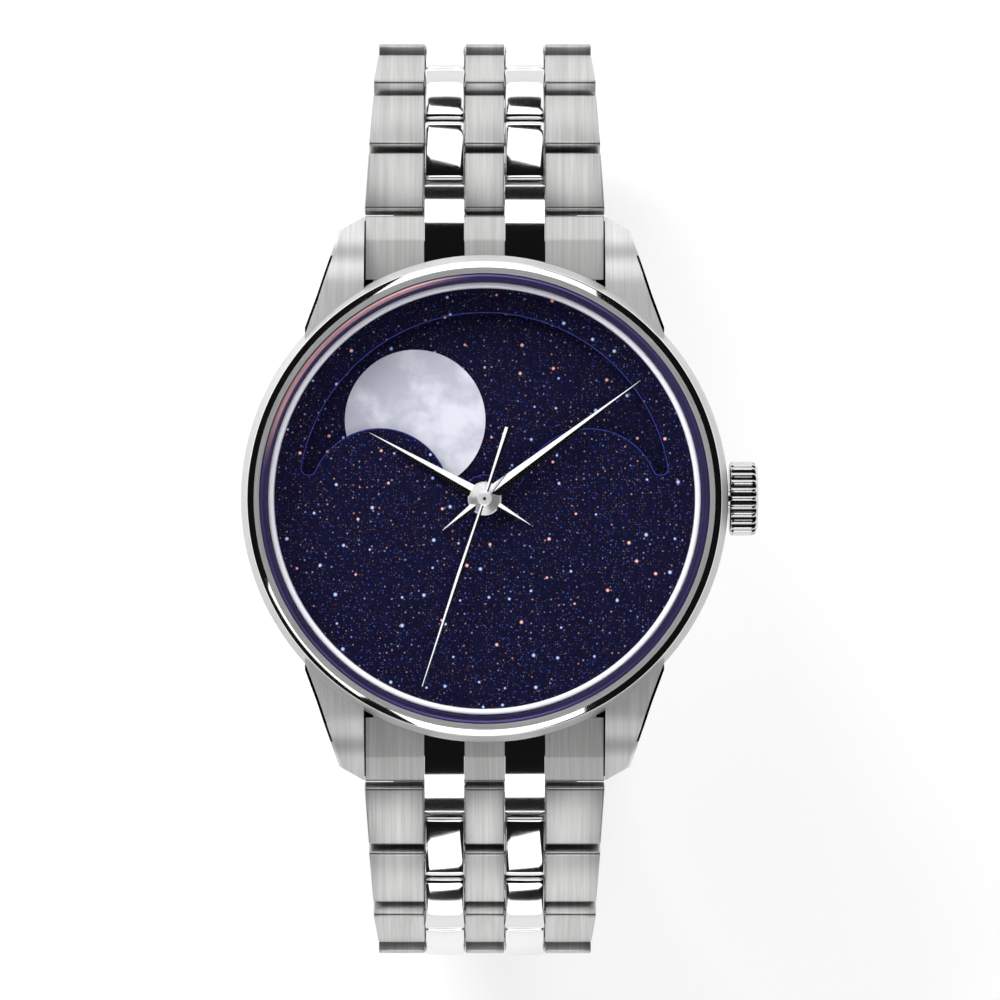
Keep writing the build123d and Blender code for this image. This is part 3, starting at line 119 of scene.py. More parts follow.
# Pink painted highlight on the coated edge and ledge, towards the upper left
PAINTED_HIGHLIGHT_AZIMUTH = math.radians(133)
PAINTED_HIGHLIGHT_HALF_ANGLE = math.radians(42)
PAINTED_HIGHLIGHT_RADIUS = 18.36 * MM
PAINTED_HIGHLIGHT_HALF_WIDTH = 0.26 * MM
BEZEL_RADIUS = 19.65 * MM
BEZEL_LAND_RADIUS = 19.1 * MM
BEZEL_MOUTH_RADIUS = 18.62 * MM
BEZEL_SHELF_RADIUS = 18.0 * MM
BEZEL_BEVEL_DROP = 0.2 * MM
BEZEL_SHELF_DROP = 1.0 * MM
BEZEL_FOOT_ROUND = 0.1 * MM
BEZEL_FLANK_ROUND = 0.12 * MM
BEZEL_LAND_ROUND = 0.06 * MM
BEZEL_MOUTH_ROUND = 0.05 * MM
BEZEL_SATIN_INSET = 0.03 * MM
BEZEL_LEDGE_DROP = 0.02 * MM
CRYSTAL_CHAMFER = 0.3 * MM
CRYSTAL_DOME = 0.3 * MM
SEAL_SLOPE = 0.12 * MM
SEAL_ROUND = 0.03 * MM
FLANGE_INNER_RADIUS = 17.47 * MM
FLANGE_CLEARANCE = 0.04 * MM
FLANGE_OUTER_ROUND = 0.2 * MM
FLANGE_INNER_ROUND = 0.22 * MM
CROWN_FLUTES = 26
CROWN_FLUTE_DEPTH = 0.26 * MM
CROWN_FLUTE_STEPS = 12
CROWN_PLAIN_FROM = 22.5 * MM
CROWN_PLAIN_FADE = 0.05 * MM
CROWN_CHAMFER = 0.3 * MM

# Hands: name, clock angle, reach, hub radius and bore radius
HANDS = (
    ("hour", 299.8, 11.0 * MM, 1.4 * MM, 1.0 * MM),
    ("minute", 52.9, 16.2 * MM, 1.27 * MM, 0.6 * MM),
)
HAND_EDGE = 0.08 * MM
HAND_SLOPE = 0.6
HUB_RISE = 0.44 * MM
HUB_STEPS = 120
LANCE_WIDEST_AT = 1.0 * MM
LANCE_HALF_WIDTH = 0.575 * MM
LANCE_TAIL = 4.4 * MM
LANCE_POINT = 0.015 * MM
SECONDS_ANGLE = 198.3
NEEDLE = (
    (16.4 * MM, 0.05 * MM), (6.56 * MM, 0.2 * MM), (0.6 * MM, 0.12 * MM),
    (-0.6 * MM, 0.12 * MM), (-6.2 * MM, 0.25 * MM),
)
CAP_RADIUS = 0.6 * MM
CAP_RISE = 0.04 * MM
CAP_DOT_RADIUS = 0.15 * MM
CAP_DOT_FLOOR = 0.02 * MM
CAP_STEPS = 60

# Dial opening
APERTURE_RADIUS = 15.4 * MM
APERTURE_END_HEIGHT = 2.0 * MM
APERTURE_END_ROUND = 0.5 * MM
APERTURE_NOTCH_HEIGHT = 1.3 * MM
RIM_HEIGHTS = np.array([-0.02, -0.02, 0.03]) * MM
HUB_ARCH_RADIUS = 2.0 * MM
APERTURE_ARC_STEPS = 60
MOON_RADIUS = 5.85 * MM
MOON_ORBIT = 8.72 * MM
MOON_PLACE = (-5.78 * MM, 6.53 * MM, 0.0)

# Colours and reliefs of the materials
WHITE = (1.0, 1.0, 1.0)
NEAR_BLACK = (0.01, 0.01, 0.01)
PLAIN_STEEL = (0.6, 0.6, 0.6)
LINE_RELIEF = 0.012 * MM
CASE_RELIEF = 0.01 * MM
SEAL_RELIEF = 0.01 * MM
MOON_RELIEF = 0.03 * MM
RING_RELIEF = 0.006 * MM
MOON_SEAS = (0.40, 0.41, 0.49)
MOON_GROUND = (0.60, 0.60, 0.68)

# Streaks per metre along X, Y and Z
BRUSHED_LENGTHWISE = (7000.0, 160.0, 160.0)
BRUSHED_CROSSWISE = (160.0, 6000.0, 6000.0)
BRUSHED_STRIPES = (9000.0, 500.0, 500.0)
STRIPE_WIDTH = 1.6 * MM
STRIPE_SLANT = 0.35

# Layers of star flakes: grid size, share that is lit, radii, seed, brightness, least hue number
STAR_LAYERS = (
    (0.22 * MM, 0.7, 0.04 * MM, 0.09 * MM, 0.013, 0.10, 0.0),
    (0.55 * MM, 0.6, 0.05 * MM, 0.11 * MM, 0.029, 0.42, 0.0),
    (2.3 * MM, 0.62, 0.12 * MM, 0.21 * MM, 0.047, 1.0, 0.55),
)

# Flakes are blue, white from one hue number on, and pink from another
FLAKE_BLUE = (0.05, 0.10, 0.70)
FLAKE_WHITE = (0.45, 0.58, 1.0)
FLAKE_PINK = (1.0, 0.48, 0.38)
WHITE_FLAKES_FROM = 0.55
PINK_FLAKES_FROM = 0.82

# Floor, just under the clasp's flat underside
FLOOR_DROP = 0.05 * MM
FLOOR_REACH = 3.0

# Lamps: name, azimuth, tilt, width, height, brightness, turn in slants, lights matt, shows in shiny
LAMPS = (
    ("lamp_top", 90, 38, 0.29, 0.215, 1.3, -1, True, True),
    ("lamp_foot", 270, 38, 0.25, 0.215, 1.3, 1, True, True),
    ("lamp_top_low", 90, 67, 0.29, 0.10, 1.3, 0, True, True),
    ("lamp_foot_low", 270, 67, 0.25, 0.10, 1.3, 0, True, True),
    ("key_right", 58, 57, 0.16, 0.13, 7.0, 0, True, False),
    ("key_left", 130, 57, 0.30, 0.15, 12.0, 0, True, False),
    ("key_over", 300, 15, 0.20, 0.20, 2.5, 0, True, False),
    ("card_right", 58, 62, 0.20, 0.13, 0.92, 0, False, True),
    ("card_left", 141, 62, 0.48, 0.13, 0.95, 0, False, True),
    ("card_low_left", 220, 41, 0.20, 0.06, 1.1, 0, False, True),
)
LAMP_AIM_HEIGHT = 30.0 * MM
CAMERA_SHIFT = (1.28 * MM, -0.12 * MM)


class BraceletSettings(bpy.types.PropertyGroup):
    """Sizes and colours of the bracelet."""

    edge_round: FloatProperty(
        name="Edge rounding", description="Radius along a link's side edges",
        default=0.13 * MM, min=0.02 * MM, max=0.3 * MM, unit="LENGTH",
    )
    brushed: FloatVectorProperty(
        name="Brushed steel", description="Colour of the brushed links",
        subtype="COLOR", default=(0.54, 0.54, 0.535), min=0.0, max=1.0,
    )
    polished: FloatVectorProperty(
        name="Polished steel", description="Colour of the polished links",
        subtype="COLOR", default=(0.82, 0.82, 0.82), min=0.0, max=1.0,
    )


class HeadSettings(bpy.types.PropertyGroup):
    """Sizes and colours of the case, bezel, crystal and crown."""

    segments: IntProperty(
        name="Segments", description="Steps round the bezel and crystal", default=360, min=64, max=720,
    )
    steel: FloatVectorProperty(
        name="Case steel", description="Colour of the case's metal",
        subtype="COLOR", default=(0.66, 0.66, 0.655), min=0.0, max=1.0,
    )
    mirror: FloatVectorProperty(
        name="Bezel steel", description="Colour of the polished bezel and crown",
        subtype="COLOR", default=(0.86, 0.86, 0.86), min=0.0, max=1.0,
    )
    seal: FloatVectorProperty(
        name="Coated edge", description="Colour of the crystal's coated edge and seal",
        subtype="COLOR", default=(0.10, 0.085, 0.24), min=0.0, max=1.0,
    )
    # Pink of the painted highlight on the coated edge and ledge at the upper left
    painted_highlight: FloatVectorProperty(
        name="Coated edge, lit side", description="Colour of the coated edge at the upper left",
        subtype="COLOR", default=(0.74, 0.43, 0.46), min=0.0, max=1.0,
    )


class DialSettings(bpy.types.PropertyGroup):
    """Sizes and colours of the dial, the moon and the hands."""

    night: FloatVectorProperty(
        name="Night blue", description="Ground colour of the dial and the moon disc",
        subtype="COLOR", default=(0.0042, 0.0040, 0.0165), min=0.0, max=1.0,
    )
    rim: FloatVectorProperty(
        name="Cut edge", description="Colour of the thin line along the opening's edge",
        subtype="COLOR", default=(0.015, 0.022, 0.22), min=0.0, max=1.0,
    )
    rim_width: FloatProperty(
        name="Cut edge width", description="Width of the thin line along the opening's edge",
        default=0.11 * MM, min=0.02 * MM, max=0.3 * MM, unit="LENGTH",
    )
    hands: FloatVectorProperty(
        name="Hands", description="Colour of the polished hands",
        subtype="COLOR", default=(0.9, 0.9, 0.9), min=0.0, max=1.0,
    )


class StudioSettings(bpy.types.PropertyGroup):
    """Camera and lamps."""

    distance: FloatProperty(
        name="Camera distance", description="From the bezel up to the camera", default=0.55, unit="LENGTH",
    )
    view_width: FloatProperty(
        name="Width in view", description="Width that the picture shows at the bezel",
        default=82.6 * MM, unit="LENGTH",
    )
    lamp_distance: FloatProperty(
        name="Lamp distance", description="From the dial to each lamp", default=0.45, unit="LENGTH",
    )
    ambient: FloatProperty(
        name="Ambient", description="Level of the even light from all round", default=0.1, min=0.0, max=2.0,
    )
    slant: FloatProperty(
        name="Lamp slant", description="Turn of the long lamps in their own plane",
        default=math.radians(18), subtype="ANGLE",
    )


def outline(corners, steps=5):
    """Closed outline with rounded corners, and its outward normals.

    Each (a, b, radius) corner gives an arc whose centre is on the corner's bisector, at
    radius / sin(half the corner's angle), and whose points turn evenly from one side to the next.
    """
    corners = np.asarray(corners, float)
    points = corners[:, :2]
    radii = np.maximum(corners[:, 2], LEAST_ROUND)
    before = np.roll(points, 1, 0) - points
    after = np.roll(points, -1, 0) - points
    before /= np.linalg.norm(before, axis=1)[:, None]
    after /= np.linalg.norm(after, axis=1)[:, None]
    bisector = before + after
    bisector /= np.linalg.norm(bisector, axis=1)[:, None]
    half = np.arccos(np.clip((before * bisector).sum(1), -1, 1))
    turn = np.sign(-before[:, 0] * after[:, 1] + before[:, 1] * after[:, 0])
    centre = points + bisector * (radii / np.sin(half))[:, None]
    spoke = points + before * (radii / np.tan(half))[:, None] - centre
    angle = (turn * (math.pi - 2 * half))[:, None] * np.linspace(0, 1, steps)
    x = spoke[:, :1] * np.cos(angle) - spoke[:, 1:] * np.sin(angle)
    y = spoke[:, :1] * np.sin(angle) + spoke[:, 1:] * np.cos(angle)
    arms = np.stack([x, y], 2)
    loop = (centre[:, None] + arms).reshape(-1, 2)
    normals = (arms * (turn / radii)[:, None, None]).reshape(-1, 2)
    return loop, normals * np.sign(turn.sum())


def grid_faces(rows, columns, close_rows=False):
    """Quads between neighbouring points of a grid whose columns close; its rows close where asked."""
    i = np.arange(rows if close_rows else rows - 1)[:, None]
    j = np.arange(columns)[None, :]
    k = (i + 1) % rows
    m = (j + 1) % columns
    quads = np.stack([i * columns + j, i * columns + m, k * columns + m, k * columns + j], 2)
    return quads.reshape(-1, 4).tolist()


def joined(shells):
    """Several (points, faces) shells as one, with the faces' numbers moved on."""
    faces = []
    start = 0
    for points, shell_faces in shells:
        faces += [[start + i for i in face] for face in shell_faces]
        start += len(points)
    return np.concatenate([points for points, _ in shells]), faces


def turned(loop, segments, closed=True):
    """Surface of a (radius, height) outline turned about Z: (r cos t, r sin t, h)."""
    t = np.arange(segments) * 2 * math.pi / segments
    r = loop[:, :1]
    points = np.stack([r * np.cos(t), r * np.sin(t), np.repeat(loop[:, 1:], segments, 1)], 2)
    return points.reshape(-1, 3), grid_faces(len(loop), segments, close_rows=closed)


def add_piece(name, shell, material, body, nodes=(), sharp=38):
    """Makes a closed shell into a piece that rides on a body and stands for CAD nodes."""
    points, faces = shell
    mesh = bpy.data.meshes.new(name)
    mesh.from_pydata(points.tolist(), [], faces)
    work = bmesh.new()
    work.from_mesh(mesh)
    bmesh.ops.remove_doubles(work, verts=work.verts, dist=DOUBLES_REACH)
    bmesh.ops.recalc_face_normals(work, faces=work.faces)
    work.to_mesh(mesh)
    work.free()
    mesh.shade_smooth()
    mesh.set_sharp_from_angle(angle=math.radians(sharp))
    piece = bpy.data.objects.new(name, mesh)
    bpy.context.scene.collection.objects.link(piece)
    mesh.materials.append(material)
    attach(piece, body)
    if nodes:
        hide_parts(*nodes)
    return piece


def smoothing_group():
    """Geometry nodes that shade smoothly, except across edges sharper than 30 degrees."""
    name = "Smooth below angle"
    if name in bpy.data.node_groups:
        return bpy.data.node_groups[name]
    tree = bpy.data.node_groups.new(name, "GeometryNodeTree")
    for way in ("INPUT", "OUTPUT"):
        tree.interface.new_socket("Geometry", in_out=way, socket_type="NodeSocketGeometry")
    start = add(tree, "NodeGroupInput").outputs[0]
    smooth = add(tree, "GeometryNodeSetShadeSmooth", {"Geometry": start}).outputs["Geometry"]
    angle = add(tree, "GeometryNodeInputMeshEdgeAngle").outputs["Unsigned Angle"]
    above = add(tree, "FunctionNodeCompare", {0: angle, 1: math.radians(30)}, operation="GREATER_THAN")
    values = {"Geometry": smooth, "Selection": above.outputs["Result"], "Shade Smooth": False}
    crease = add(tree, "GeometryNodeSetShadeSmooth", values, domain="EDGE")
    add(tree, "NodeGroupOutput", {0: crease.outputs["Geometry"]})
    return tree


def dress(names, material):
    """Gives CAD nodes a material, and smooth shading across their small facets."""
    for name in names:
        node = NODES[name]
        node.data.materials.clear()
        node.data.materials.append(material)
        weld = node.modifiers.new("Weld", "WELD")
        weld.merge_threshold = MERGE_REACH
        shade = node.modifiers.new("Smooth", "NODES")
        shade.node_group = smoothing_group()


class Value:
    """Output of a shader node, where arithmetic and comparison add Math nodes to the tree."""

    def __init__(self, tree, socket):
        self.tree = tree
        self.socket = socket

    def math(self, operation, *others):
        """Result of a Math node that starts from this value."""
        values = dict(enumerate((self, *others)))
        return value_of(self.tree, "ShaderNodeMath", values, operation=operation)

    def ramp(self, low, high, to_low=0.0, to_high=1.0):
        """The value carried smoothly from one range to another."""
        values = {"Value": self, "From Min": low, "From Max": high, "To Min": to_low, "To Max": to_high}
        return value_of(
            self.tree, "ShaderNodeMapRange", values, "Result", interpolation_type="SMOOTHSTEP",
        )

    def __add__(self, other):
        return self.math("ADD", other)

    def __sub__(self, other):
        return self.math("SUBTRACT", other)

    def __rsub__(self, other):
        return self * -1.0 + other

    def __mul__(self, other):
        return self.math("MULTIPLY", other)

    def __truediv__(self, other):
        return self.math("DIVIDE", other)

    def __gt__(self, other):
        return self.math("GREATER_THAN", other)

    def __lt__(self, other):
        return self.math("LESS_THAN", other)

    def __abs__(self):
        return self.math("ABSOLUTE")


def feed(tree, socket, value):
    """Links an input to another node's output, or sets it; a colour gets its alpha."""
    if isinstance(value, Value):
        value = value.socket
    if isinstance(value, bpy.types.NodeSocket):
        tree.links.new(value, socket)
    elif socket.type == "RGBA":
        socket.default_value = (*value[:3], 1.0)
    else:
        socket.default_value = value


def add(tree, kind, values=None, **settings):
    """Adds a shader node, sets its properties, and fills its inputs with values or links."""
    made = tree.nodes.new(kind)
    for key, value in settings.items():
        setattr(made, key, value)
    for key, value in (values or {}).items():
        feed(tree, made.inputs[key], value)
    return made


def value_of(tree, kind, values=None, output=0, **settings):
    """One output of a new shader node."""
    return Value(tree, add(tree, kind, values, **settings).outputs[output])


def tint(tree, factor, first, second, mode="MIX"):
    """Result of mixing two colours."""
    values = {0: factor, 6: first, 7: second}
    return value_of(tree, "ShaderNodeMix", values, 2, data_type="RGBA", blend_type=mode)


def vectors(tree, operation, first, second):
    """Result of a Vector Math node with two vectors."""
    return value_of(tree, "ShaderNodeVectorMath", {0: first, 1: second}, operation=operation)


def scaled(tree, colour, gain):
    """A colour times a value."""
    return value_of(tree, "ShaderNodeVectorMath", {0: colour, "Scale": gain}, operation="SCALE")


def here(tree):
    """Object coordinates."""
    return value_of(tree, "ShaderNodeTexCoord", output="Object")


def split(tree, vector, kind="ShaderNodeSeparateXYZ"):
    """The three parts of a vector or a colour."""
    return [Value(tree, part) for part in add(tree, kind, {0: vector}).outputs]


def length(x, y):
    """Distance from an axis: the root of x * x + y * y."""
    return (x * x + y * y).math("SQRT")


def noise(tree, vector, scale, detail=2.0, **values):
    """Value of a noise texture."""
    values.update(Vector=vector, Scale=scale, Detail=detail)
    return value_of(tree, "ShaderNodeTexNoise", values)


def by_name(tree, sockets):
    """A node's outputs by their names."""
    return {socket.name: Value(tree, socket) for socket in sockets}


def group(name, inputs, outputs, fill):
    """Shader node group, built once: fill(tree, its inputs) gives back its outputs by name."""
    if name in bpy.data.node_groups:
        return bpy.data.node_groups[name]
    tree = bpy.data.node_groups.new(name, "ShaderNodeTree")
    for label, (kind, default) in inputs.items():
        socket = tree.interface.new_socket(label, in_out="INPUT", socket_type=f"NodeSocket{kind}")
        socket.default_value = default
    for label, kind in outputs.items():
        tree.interface.new_socket(label, in_out="OUTPUT", socket_type=f"NodeSocket{kind}")
    start = tree.nodes.new("NodeGroupInput")
    end = tree.nodes.new("NodeGroupOutput")
    for label, value in fill(tree, by_name(tree, start.outputs)).items():
        feed(tree, end.inputs[label], value)
    return tree


def place(tree, shader_group, **values):
    """Puts a node group into a tree with its own values, and gives its outputs by name."""
    made = add(tree, "ShaderNodeGroup", values, node_tree=shader_group)
    return by_name(tree, made.outputs)


def streaked(tree, inputs, height):
    """The colour made lighter and darker by the height of its streaks, and that height."""
    gain = height.ramp(0.3, 0.7, -1.0, 1.0) * inputs["Contrast"] + 1.0
    return {"Colour": scaled(tree, inputs["Colour"], gain), "Height": height}


def fill_brushing(tree, inputs):
    """Streaks: two noises stretched by the frequencies, one fine and one four times coarser."""
    stretched = vectors(tree, "MULTIPLY", here(tree), inputs["Frequencies"])
    fine = noise(tree, stretched, 1.0, 3.0)
    wide = noise(tree, stretched, 0.23)
    return streaked(tree, inputs, wide * 0.45 + fine * 0.55)


def brushing():
    """Straight brushing along whatever direction has the lowest frequency."""
    return group(
        "Brushing",
        {
            "Colour": ("Color", (*PLAIN_STEEL, 1.0)),
            "Frequencies": ("Vector", BRUSHED_LENGTHWISE),
            "Contrast": ("Float", 0.12),
        },
        {"Colour": "Color", "Height": "Float"},
        fill_brushing,
    )


def fill_ring_brushing(tree, inputs):
    """Streaks round Z: noise of (angle, radius, height), fine across the radius."""
    x, y, z = split(tree, here(tree))
    rings = inputs["Rings per metre"]
    values = {0: y.math("ARCTAN2", x) * 3.0, 1: length(x, y) * rings, 2: z * rings}
    polar = value_of(tree, "ShaderNodeCombineXYZ", values)
    return streaked(tree, inputs, noise(tree, polar, 1.0, 3.0))


def ring_brushing():
    """Brushing in circles round the dial's centre."""
    return group(
        "Ring brushing",
        {
            "Colour": ("Color", (*PLAIN_STEEL, 1.0)),
            "Rings per metre": ("Float", 8000.0),
            "Contrast": ("Float", 0.08),
        },
        {"Colour": "Color", "Height": "Float"},
        fill_ring_brushing,
    )


def fill_handling(tree, inputs):
    """Faint smears: a soft noise and a few long thin scratches, added to a roughness."""
    smears = noise(tree, here(tree), 180.0, 3.0)
    lines = noise(tree, here(tree), 900.0, 1.0, Distortion=2.5)
    thin = abs(lines - 0.5).ramp(0.0, 0.012, 1.0, 0.0)
    return {"Roughness": (thin * 0.4 + smears) * inputs["Amount"] + inputs["Roughness"]}


def handling():
    """Marks of use, as a small change of roughness."""
    return group(
        "Handling",
        {"Roughness": ("Float", 0.1), "Amount": ("Float", 0.05)},
        {"Roughness": "Float"},
        fill_handling,
    )


def flakes(tree, size, share, smallest, largest, seed):
    """One layer of flakes: the brightness and a random number of the nearest point of a jittered grid."""
    moved = vectors(tree, "ADD", here(tree), (seed, 2 * seed, 0.0))
    values = {"Vector": moved, "Scale": 1 / size, "Randomness": 1.0}
    cells = by_name(tree, add(tree, "ShaderNodeTexVoronoi", values, voronoi_dimensions="2D").outputs)
    hue, chance, spread = split(tree, cells["Color"], "ShaderNodeSeparateColor")
    reach = spread * ((largest - smallest) / size) + smallest / size
    core = (cells["Distance"] / reach).ramp(0.2, 1.0, 1.0, 0.0)
    return core * (chance < share), hue


def flake_colour(tree, hue):
    """Blue for most, then white, then orange-pink, by a random number."""
    first = tint(tree, hue > WHITE_FLAKES_FROM, FLAKE_BLUE, FLAKE_WHITE)
    return tint(tree, hue > PINK_FLAKES_FROM, first, FLAKE_PINK)


def fill_stars(tree, inputs):
    """Faint dust, flakes and a few large bright stars, added over the ground colour."""
    colour = inputs["Ground"]
    for size, share, smallest, largest, seed, level, lowest in STAR_LAYERS:
        mask, hue = flakes(tree, size, share, smallest, largest, seed)
        weight = mask * (inputs["Brightness"] * level)
        colour = tint(tree, weight, colour, flake_colour(tree, hue * (1 - lowest) + lowest), "ADD")
    return {"Colour": colour}


def stars():
    """Night glass full of small bright flakes."""
    return group(
        "Star flakes",
        {"Ground": ("Color", (0.006, 0.005, 0.03, 1.0)), "Brightness": ("Float", 1.0)},
        {"Colour": "Color"},
        fill_stars,
    )


def fill_striping(tree, inputs):
    """Wide stripes: each carries a painted sheen from darker at one side to lighter at the other, with fine
    brushing along it.
    """
    x, y, _ = split(tree, here(tree))
    phase = ((y * STRIPE_SLANT + x) * (1 / STRIPE_WIDTH)).math("FRACT")
    streaks = place(
        tree, brushing(), Colour=inputs["Colour"], Frequencies=BRUSHED_STRIPES, Contrast=0.1,
    )
    # Painted sheen: each stripe's colour is scaled from 0.72 to 1.1 across its width.
    return {"Colour": scaled(tree, streaks["Colour"], phase.ramp(0.0, 1.0, 0.72, 1.1))}


def striping():
    """Striped finish of the bridges and the winding weight."""
    return group(
        "Striping", {"Colour": ("Color", (*PLAIN_STEEL, 1.0))}, {"Colour": "Color"}, fill_striping,
    )


def material(name):
    """Empty node material with its Principled shader."""
    made = bpy.data.materials.new(name)
    made.use_nodes = True
    tree = made.node_tree
    tree.nodes.clear()
    shader = add(tree, "ShaderNodeBsdfPrincipled")
    add(tree, "ShaderNodeOutputMaterial", {"Surface": shader.outputs[0]})
    return made, tree, shader


def connect(tree, shader, **values):
    """Sets or links a shader's inputs by name."""
    for label, value in values.items():
        feed(tree, shader.inputs[label.replace("_", " ")], value)


def bump(tree, height, distance):
    """Normal bent by a height in metres."""
    values = {"Height": height, "Distance": distance, "Strength": 1.0}
    return value_of(tree, "ShaderNodeBump", values, "Normal")


def grained_metal(name, finish, colour, roughness=0.3, relief=0.0, metal=1.0, marks=0.0, **values):
    """Metal whose colour and relief come from a finish, with marks of use where asked."""
    made, tree, shader = material(name)
    grain = place(tree, finish, Colour=colour, **values)
    if marks:
        roughness = place(tree, handling(), Roughness=roughness, Amount=marks)["Roughness"]
    connect(tree, shader, Base_Color=grain["Colour"], Metallic=metal, Roughness=roughness)
    if relief:
        connect(tree, shader, Normal=bump(tree, grain["Height"], relief))
    return made


def brushed_metal(name, colour, frequencies, roughness):
    """Metal with straight brushing."""
    values = {"Frequencies": frequencies, "Contrast": 0.13}
    return grained_metal(name, brushing(), colour, roughness, LINE_RELIEF, marks=0.06, **values)


def ring_metal(name, colour, roughness):
    """Metal brushed in circles."""
    return grained_metal(name, ring_brushing(), colour, roughness, RING_RELIEF, Contrast=0.08)


def satin_ring(name, colour, metal):
    """Pale satin metal, brushed round the dial's centre."""
    return grained_metal(name, ring_brushing(), colour, metal=metal, Contrast=0.05)


def striped_metal(name, colour):
    """Plated metal with wide stripes."""
    return grained_metal(name, striping(), colour)


def mirror_metal(name, colour, roughness, amount=0.04):
    """Polished metal with faint marks of use."""
    made, tree, shader = material(name)
    marks = place(tree, handling(), Roughness=roughness, Amount=amount)
    connect(tree, shader, Base_Color=colour, Metallic=1.0, Roughness=marks["Roughness"])
    return made


def fluted_steel(name, colour, radius, centre_z):
    """Polished crown whose flutes carry near-black painted shade at their foot, by the distance from its
    axis.
    """
    made, tree, shader = material(name)
    x, y, z = split(tree, here(tree))
    outside = length(y, z - centre_z).ramp(radius - CROWN_FLUTE_DEPTH, radius - 0.2 * CROWN_FLUTE_DEPTH)
    fluted = x.ramp(CROWN_PLAIN_FROM, CROWN_PLAIN_FROM + CROWN_PLAIN_FADE, 1.0, 0.0)
    marks = place(tree, handling(), Roughness=0.12, Amount=0.04)
    # Painted shade: near black at the foot of each flute, only on the fluted part of the crown.
    shade = tint(tree, fluted * (1.0 - outside), colour, NEAR_BLACK)
    connect(tree, shader, Base_Color=shade, Metallic=1.0, Roughness=marks["Roughness"])
    return made


def banded_steel(name, brushed, polished):
    """End link: brushed, with polished columns between two distances from the centre line, and near-black
    painted shade on its sides.
    """
    made, tree, shader = material(name)
    grain = place(tree, brushing(), Colour=brushed, Contrast=0.13)
    across = abs(split(tree, here(tree))[0])
    column = across > COLUMN_INNER + LINK_SIDE_GAP / 2
    column = column * (across < COLUMN_OUTER - LINK_SIDE_GAP / 2)
    colour = tint(tree, column, grain["Colour"], polished)
    # Painted shade: the sides beyond END_LINK_SIDE are near black, as in the groove beside the lugs.
    connect(
        tree, shader, Base_Color=tint(tree, across > END_LINK_SIDE, colour, (0.03, 0.03, 0.03)),
        Metallic=column.ramp(0.0, 1.0, 0.62, 1.0), Roughness=column.ramp(0.0, 1.0, 0.46, 0.07),
        Normal=bump(tree, grain["Height"] * (1.0 - column), LINE_RELIEF),
    )
    return made


def case_steel(name, colour):
    """Case: lug tops brushed lengthwise, the round flank brushed in circles, the sides polished.

    Along each lug's outer side the normal leans out as on a narrow polished chamfer, whose depth is
    the slope times the distance past its two inner lines, each given by its normal's angle and reach.
    The chamfer's edge carries a near-black painted reflection, the faces beside the end links
    near-black painted shade, and the lug tops a dark painted reflection band round
    y = LUG_REFLECTION_BAND_REACH.
    """
    made, tree, shader = material(name)
    straight = place(tree, brushing(), Colour=colour, Contrast=0.12)
    rings = place(tree, ring_brushing(), Colour=colour, Contrast=0.05)
    x, y, _ = split(tree, here(tree))
    round_part = length(x, y) < CASE_ROUND_RADIUS
    x, y = abs(x), abs(y)
    up = split(tree, add(tree, "ShaderNodeNewGeometry").outputs["Normal"])[2]
    side = abs(up).ramp(0.05, 0.25, 1.0, 0.0)
    grain = tint(tree, round_part, straight["Height"], rings["Height"])
    past, other = (y * math.sin(turn) + x * math.cos(turn) - reach for turn, reach in LUG_CHAMFER_LINES)
    past = past.math("MINIMUM", other).math("MAXIMUM", 0.0) * (y > LUG_ROOT_REACH)
    polished = side.math("MAXIMUM", past > LUG_POLISH_FROM)
    height = past * -LUG_CHAMFER_SLOPE + grain * CASE_RELIEF
    # Painted reflection: a soft dark band across the lug tops round LUG_REFLECTION_BAND_REACH.
    shade = abs(y - LUG_REFLECTION_BAND_REACH).ramp(0.0, LUG_REFLECTION_BAND_HALF, 0.45, 0.0)
    lugs_with_painted_band = tint(tree, shade, straight["Colour"], (0.05, 0.05, 0.05))
    # Painted shade: the lugs' inner side faces, beside the end links, are near black.
    inner_faces_in_painted_shade = side * (x < LUG_INNER_FACE)
    # Painted reflection: the outer edge of each lug chamfer is near black.
    edge = (y < LUG_EDGE_REFLECTION_REACH) * (past > LUG_EDGE_REFLECTION_FROM) * (up > 0.5)
    steel = tint(tree, round_part, lugs_with_painted_band, rings["Colour"])
    connect(
        tree, shader, Base_Color=tint(tree, inner_faces_in_painted_shade.math("MAXIMUM", edge), steel, NEAR_BLACK),
        Metallic=polished.ramp(0.0, 1.0, 0.66, 1.0), Roughness=polished.ramp(0.0, 1.0, 0.48, 0.08),
        Normal=bump(tree, height, 1.0),
    )
    return made


def coating(tree, colour, painted_highlight):
    """Colour of the coated edge, with a pink painted highlight by angle and radius, and the share of that
    highlight.
    """
    rings = place(tree, ring_brushing(), Colour=colour, Contrast=0.15)
    x, y, _ = split(tree, here(tree))
    away = abs(y.math("ARCTAN2", x) - PAINTED_HIGHLIGHT_AZIMUTH)
    off = abs(length(x, y) - PAINTED_HIGHLIGHT_RADIUS)
    # Painted highlight: pink towards the upper left, within a ring round PAINTED_HIGHLIGHT_RADIUS.
    pink = away.ramp(PAINTED_HIGHLIGHT_HALF_ANGLE / 2, PAINTED_HIGHLIGHT_HALF_ANGLE, 1.0, 0.0)
    pink = pink * off.ramp(PAINTED_HIGHLIGHT_HALF_WIDTH / 2, PAINTED_HIGHLIGHT_HALF_WIDTH, 1.0, 0.0)
    return tint(tree, pink, rings["Colour"], painted_highlight), pink


def coated_edge(name, colour, painted_highlight):
    """Blue-violet coating with a pink painted highlight towards the upper left, by the angle round the
    dial.
    """
    made, tree, shader = material(name)
    connect(tree, shader, Base_Color=coating(tree, colour, painted_highlight)[0], Metallic=0.7, Roughness=0.3)
    return made


